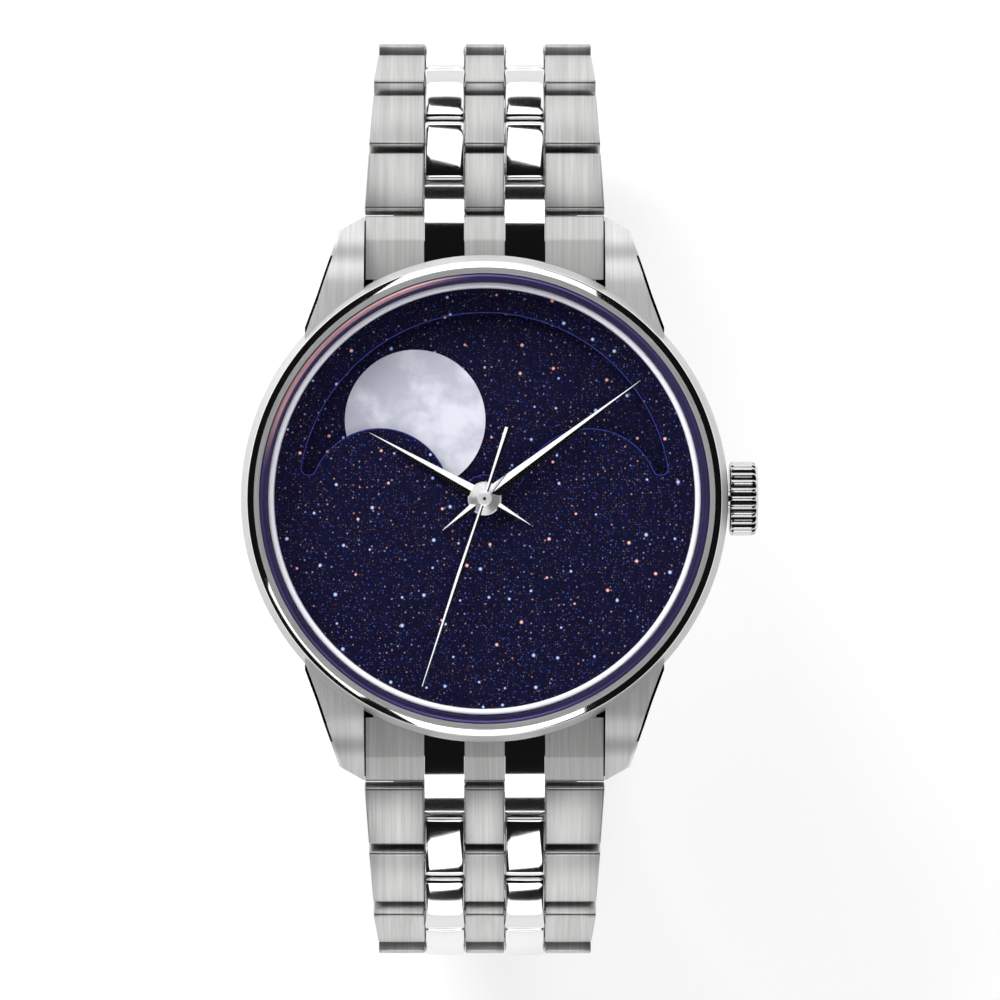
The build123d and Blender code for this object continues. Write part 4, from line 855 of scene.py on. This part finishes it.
def bezel_steel(name, colour, shelf_colour, painted_highlight, top):
    """Polished bezel with a satin land, and a coated ledge that shows through the crystal's edge."""
    made, tree, shader = material(name)
    rings = place(tree, ring_brushing(), Colour=colour, Contrast=0.07)
    x, y, z = split(tree, here(tree))
    land = length(x, y) < BEZEL_LAND_RADIUS - BEZEL_SATIN_INSET
    ledge = land * (z < top - BEZEL_LEDGE_DROP)
    satin = tint(tree, land, colour, rings["Colour"])
    # The ledge takes the coating's colour, with its pink painted highlight at the upper left.
    shade, pink = coating(tree, shelf_colour, painted_highlight)
    connect(
        tree, shader, Base_Color=tint(tree, ledge, satin, shade),
        Metallic=ledge * pink * -0.8 + 1.0, Roughness=land.ramp(0.0, 1.0, 0.05, 0.6),
        Normal=bump(tree, rings["Height"] * land, RING_RELIEF),
    )
    return made


def clear_glass(name):
    """Coated glass: nearly no reflection, and clear for shadow rays."""
    made, tree, shader = material(name)
    connect(
        tree, shader, Base_Color=WHITE, Metallic=0.0, Roughness=0.0, IOR=1.03, Transmission_Weight=1.0,
    )
    clear = add(tree, "ShaderNodeBsdfTransparent")
    shadow = add(tree, "ShaderNodeLightPath").outputs["Is Shadow Ray"]
    mixed = add(tree, "ShaderNodeMixShader", {0: shadow, 1: shader.outputs[0], 2: clear.outputs[0]})
    output = next(node for node in tree.nodes if node.type == "OUTPUT_MATERIAL")
    tree.links.new(mixed.outputs[0], output.inputs["Surface"])
    return made


def night_glass(name, ground, level):
    """Dark glass full of bright flakes."""
    made, tree, shader = material(name)
    sky = place(tree, stars(), Ground=ground, Brightness=level)
    connect(tree, shader, Base_Color=sky["Colour"], Roughness=0.22, Specular_IOR_Level=0.3)
    return made


def painted_rim(name, colour):
    """Bright lacquered edge."""
    made, tree, shader = material(name)
    shade = tint(tree, noise(tree, here(tree), 1500.0) * 0.5, colour, (0.05, 0.08, 0.5))
    connect(tree, shader, Base_Color=shade, Roughness=0.25, Metallic=0.2)
    return made


def moon_face(name):
    """Pearly moon: pale ground, soft grey seas and a fine grain, with painted shade towards the upper left.
    """
    made, tree, shader = material(name)
    centred = vectors(tree, "SUBTRACT", here(tree), MOON_PLACE)
    seas = noise(tree, centred, 420.0, 4.0, Roughness=0.55, Distortion=0.15)
    spots = noise(tree, centred, 1500.0, 3.0)
    x, y, _ = split(tree, centred)
    # Painted shade: the x and y terms darken the moon towards the upper left, where the dial's opening
    # shades it.
    value = seas + (spots - 0.5) * 0.12 + (x * 10.0 + y * -16.0)
    connect(
        tree, shader, Base_Color=tint(tree, value.ramp(0.32, 0.70), MOON_SEAS, MOON_GROUND),
        Roughness=0.45, Normal=bump(tree, seas, MOON_RELIEF),
    )
    return made


def rubber(name, colour):
    """Matt seal."""
    made, tree, shader = material(name)
    grain = noise(tree, here(tree), 3000.0)
    connect(
        tree, shader, Base_Color=tint(tree, grain, colour, (0.03, 0.03, 0.035)), Roughness=0.6,
        Normal=bump(tree, grain, SEAL_RELIEF),
    )
    return made


def half_width(rows):
    """Half the bracelet's width at a number of rows from the case, down to its narrow end."""
    return np.maximum(BRACELET_WIDTH - ROW_NARROWING * rows, BRACELET_END_WIDTH) / 2


def link_shell(corners, left, right, edge, pockets=(), bulge=0.0):
    """One link as (across, along, up) points.

    The outline is carried from left to right. Near each side it moves inwards by
    edge * (1 - sin t) while its place runs by edge * (1 - cos t), a quarter round. Left and right
    may depend on the place along the row. The top is raised by bulge * (1 - s * s), where s runs
    from -1 to 1 across the link. Pin pockets open in the right side.
    """
    loop, normals = outline(corners)
    t = np.linspace(0, math.pi / 2, 4)[:, None]
    between = np.linspace(0, 1, 9 if bulge else 2)[1:-1, None]
    inset = edge * (1 - np.sin(t))
    run = edge * (1 - np.cos(t))
    inset = np.concatenate([inset, 0 * between, inset[::-1]])[:, :, None]
    section = loop - normals * inset
    near = left(section[:4, :, 0]) + run
    far = right(section[-4:, :, 0]) - run[::-1]
    middle = near[-1] + (far[0] - near[-1]) * between
    across = np.concatenate([near, middle, far])
    s = 2 * (across - across[0]) / (across[-1] - across[0]) - 1
    lift = bulge * (1 - s**2) * (section[:, :, 1] > 0)
    points = np.stack([across, section[:, :, 0], section[:, :, 1] + lift], 2)
    rows, count = points.shape[:2]
    flat = points.reshape(-1, 3)
    faces = grid_faces(rows, count)
    faces.append(list(range(count)))
    last = np.arange((rows - 1) * count, rows * count)
    shells = [flat]
    if not pockets:
        faces.append(last.tolist())
        return flat, faces
    turn = np.arange(PIN_STEPS) * 2 * math.pi / PIN_STEPS
    start = len(flat)
    rings = [last]
    for along in pockets:
        a = along + PIN_RADIUS * np.cos(turn)
        b = PIN_RADIUS * np.sin(turn)
        mouth = np.stack([right(a), a, b], 1)
        floor = mouth - np.array([PIN_POCKET, 0, 0])
        shells += [mouth, floor]
        ring = np.arange(PIN_STEPS) + start
        faces += (np.array(grid_faces(2, PIN_STEPS)) + start).tolist()
        faces.append((ring + PIN_STEPS).tolist())
        rings.append(ring)
        start += 2 * PIN_STEPS
    flat = np.concatenate(shells)
    numbers = np.concatenate(rings)
    cap = tessellate_polygon([[Vector(flat[i]) for i in ring] for ring in rings])
    faces += [[int(numbers[i]) for i in triangle] for triangle in cap]
    return flat, faces


def pin_shell(along, reach):
    """Pin across the row: a turned rod whose ends are slightly domed."""
    end = reach + PIN_DOME * np.array([0.0, 0.8, 1.0])
    heights = np.concatenate([-end[::-1], end])
    radii = PIN_RADIUS * np.array([0.0, 0.55, 1.0, 1.0, 0.55, 0.0])
    points, faces = turned(np.stack([radii, heights], 1), PIN_STEPS, closed=False)
    return np.stack([points[:, 2], points[:, 0] + along, points[:, 1]], 1), faces


def mirrored(shell):
    """The same shell on the other side of the centre line."""
    return shell[0] * np.array([-1, 1, 1]), shell[1]


def brushed_corners():
    """Side view of a brushed link, as (along, up, rounding)."""
    rear = ROW_PITCH - HALF_LINK - LINK_GAP
    return [
        (-HALF_LINK, -HALF_LINK, HALF_LINK * 0.999),
        (rear, -HALF_LINK, LINK_UNDER_ROUND),
        (rear, HALF_LINK, LINK_TOP_ROUND),
        (-HALF_LINK, HALF_LINK, LINK_TOP_ROUND),
    ]


def polished_corners():
    """Side view of a polished link, crowned along its length."""
    front = HALF_LINK + LINK_GAP
    rear = ROW_PITCH + HALF_LINK
    ends = HALF_LINK - POLISHED_END_DROP
    return [
        (front, -HALF_LINK, LINK_UNDER_ROUND),
        (rear, -HALF_LINK, HALF_LINK * 0.999),
        (rear, ends, POLISHED_TOP_ROUND),
        ((front + rear) / 2, HALF_LINK + POLISHED_CROWN_RISE, POLISHED_CROWN_RADIUS),
        (front, ends, POLISHED_TOP_ROUND),
    ]


def row_shells(row, edge, closing_pin):
    """Brushed links, polished links and pins of one row, in the row's own place."""
    def level(x):
        return lambda along: np.full(np.shape(along), x)

    def side(along):
        return half_width(row + along / ROW_PITCH)

    pockets = (0.0, ROW_PITCH / 2)
    outer = link_shell(brushed_corners(), level(COLUMN_OUTER), side, edge, pockets)
    centre = link_shell(brushed_corners(), level(-COLUMN_INNER), level(COLUMN_INNER), edge)
    near = COLUMN_INNER + LINK_SIDE_GAP
    far = COLUMN_OUTER - LINK_SIDE_GAP
    polished = link_shell(polished_corners(), level(near), level(far), edge, bulge=POLISHED_BULGE)
    pins = [pin_shell(along, float(side(along)) - PIN_INSET - PIN_DOME) for along in pockets]
    if closing_pin:
        pins.append(pin_shell(ROW_PITCH, COLUMN_OUTER - PIN_DOME))
    return {
        "brushed": joined([centre, outer, mirrored(outer)]),
        "polished": joined([polished, mirrored(polished)]),
        "pins": joined(pins),
    }


def row_places():
    """Front hinge, direction along the row and direction out of it, for each row of both sides."""
    last = np.array(HINGES["clasp_inner"])
    places = {}
    for side, sign in (("12", 1), ("6", -1)):
        hinges = [np.array(HINGES[f"row_{side}_{k}"]) for k in range(1, ROWS + 1)]
        hinges.append(last * np.array([1, sign, 1]))
        for k in range(ROWS):
            along = hinges[k + 1] - hinges[k]
            along /= np.linalg.norm(along)
            up = sign * np.array([0.0, -along[2], along[1]])
            places[side, k + 1] = (hinges[k], np.array([float(sign), 0, 0]), along, up)
    return places


class WATCH_OT_bracelet(bpy.types.Operator):
    """Makes the bracelet's rows: brushed links, polished links and pins"""

    bl_idname = "watch.bracelet"
    bl_label = "Bracelet rows"

    def execute(self, context):
        sizes = context.scene.watch_bracelet
        finishes = {
            "brushed": brushed_metal("Brushed links", sizes.brushed, BRUSHED_LENGTHWISE, 0.3),
            "polished": mirror_metal("Polished links", sizes.polished, 0.06),
            "pins": ring_metal("Turned pins", sizes.brushed, 0.25),
        }
        for (side, number), (origin, across, along, up) in row_places().items():
            closing_pin = side == "6" and number == ROWS
            basis = np.stack([across, along, up])
            node = f"link_row_{side}_{number}"
            shells = row_shells(number - 1, sizes.edge_round, closing_pin)
            for finish, (points, faces) in shells.items():
                add_piece(
                    f"{node}_{finish}", (points @ basis + origin, faces), finishes[finish],
                    f"row_{side}_{number}", [node],
                )
        return {"FINISHED"}


def shade_block_shell(low, high):
    """Four near-black blocks of painted shade in the narrow gaps beside the end links, mirrored in X and Y.

    Each runs from x = SHADE_BLOCK_INNER to SHADE_BLOCK_OUTER and y = SHADE_BLOCK_START to SHADE_BLOCK_END,
    at mid height.
    """
    centre = (low.z + high.z) / 2
    blocks = []
    for sx in (-1, 1):
        for sy in (-1, 1):
            corners = [
                (sx * x, sy * y, z)
                for z in (centre - SHADE_BLOCK_THICKNESS, centre)
                for x, y in (
                    (SHADE_BLOCK_INNER, SHADE_BLOCK_START), (SHADE_BLOCK_OUTER, SHADE_BLOCK_START),
                    (SHADE_BLOCK_OUTER, SHADE_BLOCK_END), (SHADE_BLOCK_INNER, SHADE_BLOCK_END),
                )
            ]
            faces = [[0, 1, 2, 3], [4, 5, 6, 7], [0, 1, 5, 4], [1, 2, 6, 5], [2, 3, 7, 6], [3, 0, 4, 7]]
            blocks.append((np.array(corners), faces))
    return joined(blocks)


class WATCH_OT_case(bpy.types.Operator):
    """Finishes the case, the end links and the case back, and fills the gaps beside the links with
    near-black blocks of painted shade
    """

    bl_idname = "watch.case"
    bl_label = "Case and end links"

    def execute(self, context):
        head = context.scene.watch_head
        links = context.scene.watch_bracelet
        dress(["middle_case"], case_steel("Case steel", head.steel))
        banded = banded_steel("End link steel", links.brushed, links.polished)
        dress(["end_link_12", "end_link_6"], banded)
        low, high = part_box("end_link_12")
        # Painted shade: near-black blocks in the gaps beside the end links, where there is only shade.
        shade = rubber("Lug gap painted shade", (0.02, 0.02, 0.02))
        add_piece("lug_gap_shade_blocks", shade_block_shell(low, high), shade, "watch_head", ())
        dress(["case_back"], ring_metal("Case back steel", head.steel, 0.24))
        dress(["lug_spring_bars"], ring_metal("Bar steel", links.brushed, 0.25))
        dress(["crown_tube"], mirror_metal("Tube steel", head.steel, 0.15))
        dress(["back_gasket"], rubber("Back seal", (0.05, 0.05, 0.055)))
        return {"FINISHED"}


def add_ring(name, corners, steps, material, node):
    """Ring of the watch head, turned from the rounded corners of its section."""
    loop, _ = outline(corners, steps)
    shell = turned(loop, bpy.context.scene.watch_head.segments)
    add_piece(name, shell, material, "watch_head", [node])


class WATCH_OT_bezel(bpy.types.Operator):
    """Makes the polished bezel"""

    bl_idname = "watch.bezel"
    bl_label = "Bezel"

    def execute(self, context):
        head = context.scene.watch_head
        low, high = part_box("bezel")
        corners = [
            (BEZEL_SHELF_RADIUS, low.z, 0),
            (BEZEL_RADIUS, low.z, BEZEL_FOOT_ROUND),
            (BEZEL_RADIUS, high.z - BEZEL_BEVEL_DROP, BEZEL_FLANK_ROUND),
            (BEZEL_LAND_RADIUS, high.z, BEZEL_LAND_ROUND),
            (BEZEL_MOUTH_RADIUS, high.z, BEZEL_MOUTH_ROUND),
            (BEZEL_MOUTH_RADIUS, high.z - BEZEL_SHELF_DROP, 0),
            (BEZEL_SHELF_RADIUS, high.z - BEZEL_SHELF_DROP, BEZEL_MOUTH_ROUND),
        ]
        steel = bezel_steel("Bezel steel", head.mirror, head.seal, head.painted_highlight, high.z)
        add_ring("bezel_ring", corners, 6, steel, "bezel")
        return {"FINISHED"}


class WATCH_OT_crystal(bpy.types.Operator):
    """Makes the domed crystal with its seal, and finishes the bright ring under it"""

    bl_idname = "watch.crystal"
    bl_label = "Crystal, seal and flange"

    def execute(self, context):
        head = context.scene.watch_head
        low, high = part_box("crystal")
        radius = high.x
        flat = radius - CRYSTAL_CHAMFER
        inward = np.linspace(1, 0, 24)[1:]
        outward = np.linspace(0, 1, 12)
        edge = high.z - CRYSTAL_DOME
        dome = high.z - CRYSTAL_DOME * inward**2
        r = np.concatenate([outward * radius, [radius, flat], inward * flat])
        h = np.concatenate([np.full_like(outward, low.z), [edge - CRYSTAL_CHAMFER, edge], dome])
        glass = turned(np.stack([r, h], 1), head.segments, closed=False)
        add_piece(
            "domed_crystal", glass, clear_glass("Crystal glass"), "watch_head", ["crystal"],
        )
        low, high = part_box("crystal_gasket")
        corners = [
            (radius, low.z, 0),
            (BEZEL_MOUTH_RADIUS, low.z, 0),
            (BEZEL_MOUTH_RADIUS, high.z - SEAL_SLOPE, SEAL_ROUND),
            (radius, high.z, SEAL_ROUND),
        ]
        seal = coated_edge("Coated edge", head.seal, head.painted_highlight)
        add_ring("crystal_seal", corners, 5, seal, "crystal_gasket")
        low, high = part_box("dial_flange")
        rim = BEZEL_SHELF_RADIUS - FLANGE_CLEARANCE
        corners = [
            (rim, low.z, 0),
            (rim, high.z, FLANGE_OUTER_ROUND),
            (FLANGE_INNER_RADIUS, high.z, FLANGE_INNER_ROUND),
            (FLANGE_INNER_RADIUS, low.z, 0),
        ]
        silver = satin_ring("Flange silver", (0.90, 0.89, 0.96), 0.05)
        add_ring("flange_ring", corners, 9, silver, "dial_flange")
        dress(["back_crystal"], clear_glass("Back glass"))
        return {"FINISHED"}


def aperture_path():
    """Edge of the dial opening, counter-clockwise from the right end, as points and normals into the dial.

    It is a wide arc, a rounded end on each side, an arc over each hump, two short straights and an
    arc over the hub; the left half is the mirror of the right.
    """
    def arc(centre, radius, start, stop):
        t = np.linspace(start, stop, APERTURE_ARC_STEPS)
        return np.stack([centre[0] + radius * np.cos(t), centre[1] + radius * np.sin(t)], 1)

    r = APERTURE_END_ROUND
    base = APERTURE_END_HEIGHT + r
    inner_x = math.sqrt((APERTURE_RADIUS - r) ** 2 - base**2)
    outer_turn = math.atan2(base, inner_x)
    hump_x = MOON_ORBIT + math.sqrt((MOON_RADIUS + r) ** 2 - base**2)
    hump_turn = math.atan2(base, hump_x - MOON_ORBIT)
    notch_turn = math.pi - math.asin(APERTURE_NOTCH_HEIGHT / MOON_RADIUS)
    hub_turn = math.asin(APERTURE_NOTCH_HEIGHT / HUB_ARCH_RADIUS)
    right = np.concatenate([
        arc((0, 0), HUB_ARCH_RADIUS, math.pi / 2, hub_turn),
        arc((MOON_ORBIT, 0), MOON_RADIUS, notch_turn, hump_turn),
        arc((hump_x, base), r, hump_turn - math.pi, -math.pi / 2),
        arc((inner_x, base), r, -math.pi / 2, outer_turn),
        arc((0, 0), APERTURE_RADIUS, outer_turn, math.pi / 2),
    ])
    left = right[::-1] * np.array([-1, 1])
    path = np.concatenate([right, left])
    keep = np.linalg.norm(np.roll(path, -1, 0) - path, axis=1) > MERGE_REACH
    path = path[keep]
    step = np.roll(path, -1, 0) - np.roll(path, 1, 0)
    step /= np.linalg.norm(step, axis=1)[:, None]
    return path, np.stack([step[:, 1], -step[:, 0]], 1)


def rim_shell(width, top):
    """Thin raised line: a low triangle carried along the opening's edge, its base on the dial."""
    path, normals = aperture_path()
    out = np.array([0.0, width, width / 2])[None, :, None]
    flat = path[:, None, :] + normals[:, None, :] * out
    height = np.broadcast_to(top + RIM_HEIGHTS, flat.shape[:2])
    points = np.concatenate([flat, height[:, :, None]], 2)
    return points.reshape(-1, 3), grid_faces(len(path), 3, close_rows=True)


class WATCH_OT_dial(bpy.types.Operator):
    """Finishes the starry dial, the cut edge of its opening, the moon disc and the moons"""

    bl_idname = "watch.dial"
    bl_label = "Dial and moon"

    def execute(self, context):
        dial = context.scene.watch_dial
        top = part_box("dial")[1].z
        dress(["dial"], night_glass("Star glass", dial.night, 1.0))
        dress(["moon_disc"], night_glass("Sky glass", dial.night, 0.8))
        dress(["moon_plates"], moon_face("Moon face"))
        rim = painted_rim("Cut edge", dial.rim)
        add_piece("opening_rim", rim_shell(dial.rim_width, top), rim, "watch_head", ())
        return {"FINISHED"}


def hand_shell(stations, low, angle):
    """Hand along its clock angle: at each (reach, half width) the section is a low roof.

    The roof's ridge stands above its side walls by the slope times the half width.
    """
    reach, half = np.array(stations).T
    zero = np.zeros_like(half)
    across = np.stack([-half, -half, zero, half, half], 1)
    wall = np.full_like(half, HAND_EDGE)
    height = np.stack([zero, wall, wall + HAND_SLOPE * half, wall, zero], 1)
    t = math.radians(angle)
    along = np.repeat(reach[:, None], 5, 1)
    x = across * math.cos(t) + along * math.sin(t)
    y = along * math.cos(t) - across * math.sin(t)
    faces = grid_faces(len(stations), 5)
    faces += [list(range(5)), list(range(5 * len(stations) - 5, 5 * len(stations)))]
    return np.stack([x, y, low + height], 2).reshape(-1, 3), faces


def hub_shell(radius, bore, low, rise):
    """Coned hub with an open bore, turned about the dial's centre."""
    loop = np.array([(bore, low), (radius, low), (radius, low + HAND_EDGE), (bore, low + rise)])
    return turned(loop, HUB_STEPS)


class WATCH_OT_hands(bpy.types.Operator):
    """Makes the faceted hour, minute and seconds hands with their hubs"""

    bl_idname = "watch.hands"
    bl_label = "Hands"

    def execute(self, context):
        colour = context.scene.watch_dial.hands
        polished = mirror_metal("Polished hands", colour, 0.05, 0.01)
        satin_cap = satin_ring("Satin cap", colour, 0.6)
        satin_hubs = satin_ring("Satin hubs", colour, 0.88)
        for name, angle, reach, hub, bore in HANDS:
            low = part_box(f"{name}_hand")[0].z
            body = f"{name}_group"
            widest = (LANCE_WIDEST_AT, LANCE_HALF_WIDTH)
            lance = hand_shell([(reach, LANCE_POINT), widest, (-LANCE_TAIL, LANCE_POINT)], low, angle)
            add_piece(f"{name}_lance", lance, polished, body, [f"{name}_hand"], sharp=5)
            cone = hub_shell(hub, bore, low, HUB_RISE)
            add_piece(f"{name}_hub", cone, satin_hubs, body, ())
        low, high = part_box("seconds_hand")
        needle = hand_shell(NEEDLE, low.z, SECONDS_ANGLE)
        add_piece(
            "seconds_needle", needle, polished, "seconds_group", ["seconds_hand"], sharp=5,
        )
        top = high.z + CAP_RISE
        floor = low.z + CAP_DOT_FLOOR
        loop = np.array([
            (0.0, low.z), (CAP_RADIUS, low.z), (CAP_RADIUS, high.z), (0.8 * CAP_RADIUS, top),
            (CAP_DOT_RADIUS, top), (CAP_DOT_RADIUS, floor), (0.0, floor),
        ])
        cap = turned(loop, CAP_STEPS, closed=False)
        add_piece("seconds_cap", cap, satin_cap, "seconds_group", ())
        return {"FINISHED"}


def crown_shell(start, end, radius, centre_z):
    """Crown about X: a turned outline whose radius dips by flutes, depth * ((1 + cos(n t)) / 2) ** 1.5."""
    fluted, smooth = 1.0, 0.0
    c = CROWN_CHAMFER
    corners = np.array([
        (start, 0, smooth), (start, radius - c, smooth), (start + 0.3 * c, radius, smooth),
        (start + 0.6 * c, radius, fluted), (end - 1.6 * c, radius, fluted),
        (end - c, radius - 0.3 * c, fluted), (end - 0.7 * c, radius - 0.8 * c, smooth),
        (end - 0.2 * c, radius - 1.5 * c, smooth), (end, radius / 2, smooth), (end, 0, smooth),
    ])
    where = np.linspace(0, len(corners) - 1, 8 * (len(corners) - 1) + 1)
    x, r, mask = (np.interp(where, np.arange(len(corners)), corners[:, k]) for k in range(3))
    count = CROWN_FLUTES * CROWN_FLUTE_STEPS
    t = np.arange(count) * 2 * math.pi / count
    dip = CROWN_FLUTE_DEPTH * ((1 + np.cos(CROWN_FLUTES * t)) / 2) ** 1.5
    reach = r[:, None] - mask[:, None] * dip
    along = np.repeat(x[:, None], count, 1)
    points = np.stack([along, reach * np.cos(t), reach * np.sin(t) + centre_z], 2)
    return points.reshape(-1, 3), grid_faces(len(x), count)


class WATCH_OT_crown(bpy.types.Operator):
    """Makes the fluted crown and finishes its stem"""

    bl_idname = "watch.crown"
    bl_label = "Crown"

    def execute(self, context):
        head = context.scene.watch_head
        low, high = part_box("crown")
        radius, centre_z = (high.z - low.z) / 2, (high.z + low.z) / 2
        shell = crown_shell(low.x, high.x, radius, centre_z)
        steel = fluted_steel("Crown steel", head.steel, radius, centre_z)
        add_piece("fluted_crown", shell, steel, "crown_group", ["crown"], sharp=50)
        dress(["winding_stem", "winding_pinion"], mirror_metal("Stem steel", head.steel, 0.15))
        return {"FINISHED"}


class WATCH_OT_movement(bpy.types.Operator):
    """Finishes the movement: plates, bridges, wheels, balance, screws and winding weight"""

    bl_idname = "watch.movement"
    bl_label = "Movement"

    def execute(self, context):
        plated = striped_metal("Plated bridges", (0.66, 0.66, 0.64))
        dress(["train_bridge", "balance_cock", "main_plate"], plated)
        dress(["movement_ring"], ring_metal("Holder ring", PLAIN_STEEL, 0.3))
        brass = ring_metal("Gilt wheels", (0.83, 0.62, 0.28), 0.25)
        dress(["hour_wheel", "cannon_pinion", "fourth_wheel"], brass)
        dress(["third_wheel", "mainspring_barrel", "balance_wheel"], brass)
        dress(["escape_wheel", "pallet_fork"], mirror_metal("Escapement steel", (0.6, 0.6, 0.61), 0.12))
        dress(["rotor"], striped_metal("Winding weight", (0.64, 0.64, 0.62)))
        dress(["bridge_screws"], mirror_metal("Blued screws", (0.07, 0.12, 0.5), 0.12))
        return {"FINISHED"}


class WATCH_OT_clasp(bpy.types.Operator):
    """Finishes the folding clasp"""

    bl_idname = "watch.clasp"
    bl_label = "Clasp"

    def execute(self, context):
        steel = context.scene.watch_bracelet.brushed
        dress(["clasp_cover"], brushed_metal("Clasp steel", steel, BRUSHED_LENGTHWISE, 0.34))
        blades = brushed_metal("Blade steel", steel, BRUSHED_CROSSWISE, 0.3)
        dress(["clasp_inner_blade", "clasp_middle_blade"], blades)
        dress(["clasp_button_left", "clasp_button_right"], mirror_metal("Button steel", steel, 0.1))
        dress(["clasp_blade_pins", "clasp_cover_pin"], ring_metal("Clasp pins", steel, 0.25))
        return {"FINISHED"}


def area_lamp(studio, name, azimuth, tilt, width, height, level, slants, lights, mirrors):
    """Lamp that faces the dial from an azimuth and an angle off the vertical, at a given brightness.

    It lights matt surfaces, shows in shiny ones, or both.
    """
    centre = Vector((0, 0, LAMP_AIM_HEIGHT))
    a, t = math.radians(azimuth), math.radians(tilt)
    away = Vector((math.sin(t) * math.cos(a), math.sin(t) * math.sin(a), math.cos(t)))
    lamp = bpy.data.lights.new(name, "AREA")
    lamp.shape = "RECTANGLE"
    lamp.size = width
    lamp.size_y = height
    lamp.energy = 4 * width * height * level
    made = bpy.data.objects.new(name, lamp)
    made.location = centre + away * studio.lamp_distance
    turn = Quaternion((0, 0, 1), slants * studio.slant)
    made.rotation_euler = (away.to_track_quat("Z", "Y") @ turn).to_euler()
    made.visible_diffuse = lights
    made.visible_glossy = mirrors
    made.visible_transmission = mirrors
    bpy.context.scene.collection.objects.link(made)


def seen_by(tree):
    """1 for the camera's own rays, and 1 for those that metal and glass send on."""
    paths = by_name(tree, add(tree, "ShaderNodeLightPath").outputs)
    return paths["Is Camera Ray"], paths["Is Glossy Ray"].math("MAXIMUM", paths["Is Transmission Ray"])


def studio_world(ambient):
    """World: white to the camera; to metal and glass white at the horizon and dark overhead."""
    world = bpy.data.worlds.new("Studio")
    bpy.context.scene.world = world
    world.use_nodes = True
    tree = world.node_tree
    tree.nodes.clear()
    height = split(tree, value_of(tree, "ShaderNodeTexCoord", output="Generated"))[2]
    horizon = height.ramp(0.26, 0.42, 0.95, 0.006)
    camera, shiny = seen_by(tree)
    level = value_of(tree, "ShaderNodeMix", {0: shiny, 2: ambient, 3: horizon})
    level = value_of(tree, "ShaderNodeMix", {0: camera, 2: level, 3: 1.0})
    light = add(tree, "ShaderNodeBackground", {"Color": WHITE, "Strength": level})
    add(tree, "ShaderNodeOutputWorld", {"Surface": light.outputs[0]})


def pale_floor():
    """White floor that keeps its shadows: a matt white, lifted for the camera and for reflections."""
    mesh = bpy.data.meshes.new("floor")
    ends = ((-1, -1), (1, -1), (1, 1), (-1, 1))
    corners = [(FLOOR_REACH * x, FLOOR_REACH * y, -FLOOR_DROP) for x, y in ends]
    mesh.from_pydata(corners, [], [(0, 1, 2, 3)])
    floor = bpy.data.objects.new("floor", mesh)
    bpy.context.scene.collection.objects.link(floor)
    made, tree, shader = material("Floor")
    camera, shiny = seen_by(tree)
    connect(
        tree, shader, Base_Color=(0.42, 0.42, 0.42), Roughness=0.9, Specular_IOR_Level=0.0,
        Emission_Color=WHITE, Emission_Strength=camera.math("MAXIMUM", shiny) * 0.66,
    )
    mesh.materials.append(made)


class WATCH_OT_stage(bpy.types.Operator):
    """Sets up the floor, the lamps and the camera"""

    bl_idname = "watch.stage"
    bl_label = "Stage"

    def execute(self, context):
        scene = context.scene
        studio = scene.watch_studio
        scene.view_settings.view_transform = "Standard"
        pale_floor()
        studio_world(studio.ambient)
        for lamp in LAMPS:
            area_lamp(studio, *lamp)
        data = bpy.data.cameras.new("camera")
        data.sensor_width = 36.0
        data.lens = data.sensor_width * studio.distance / studio.view_width
        data.clip_end = 10.0
        camera = bpy.data.objects.new("camera", data)
        bezel_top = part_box("bezel")[1].z
        camera.location = (*CAMERA_SHIFT, bezel_top + studio.distance)
        scene.collection.objects.link(camera)
        scene.camera = camera
        return {"FINISHED"}


SETTINGS = {
    "watch_bracelet": BraceletSettings,
    "watch_head": HeadSettings,
    "watch_dial": DialSettings,
    "watch_studio": StudioSettings,
}
OPERATORS = (
    WATCH_OT_stage,
    WATCH_OT_bracelet,
    WATCH_OT_case,
    WATCH_OT_bezel,
    WATCH_OT_crystal,
    WATCH_OT_dial,
    WATCH_OT_hands,
    WATCH_OT_crown,
    WATCH_OT_movement,
    WATCH_OT_clasp,
)


class WATCH_PT_pieces(bpy.types.Panel):
    """Lists the watch's pieces and their settings"""

    bl_idname = "WATCH_PT_pieces"
    bl_label = "Moon Phase Watch"
    bl_space_type = "VIEW_3D"
    bl_region_type = "UI"
    bl_category = "Watch"

    def draw(self, context):
        for operator in OPERATORS:
            self.layout.operator(operator.bl_idname)
        for name, settings in SETTINGS.items():
            box = self.layout.box()
            for label in settings.__annotations__:
                box.prop(getattr(context.scene, name), label)


def register():
    for name, settings in SETTINGS.items():
        bpy.utils.register_class(settings)
        setattr(bpy.types.Scene, name, PointerProperty(type=settings))
    for operator in OPERATORS:
        bpy.utils.register_class(operator)
    bpy.utils.register_class(WATCH_PT_pieces)


def unregister():
    bpy.utils.unregister_class(WATCH_PT_pieces)
    for operator in OPERATORS:
        bpy.utils.unregister_class(operator)
    for name, settings in SETTINGS.items():
        delattr(bpy.types.Scene, name)
        bpy.utils.unregister_class(settings)


def main():
    """Makes every piece in order."""
    register()
    bpy.ops.watch.stage()
    bpy.ops.watch.bracelet()
    bpy.ops.watch.case()
    bpy.ops.watch.bezel()
    bpy.ops.watch.crystal()
    bpy.ops.watch.dial()
    bpy.ops.watch.hands()
    bpy.ops.watch.crown()
    bpy.ops.watch.movement()
    bpy.ops.watch.clasp()


if __name__ == "__main__":
    main()
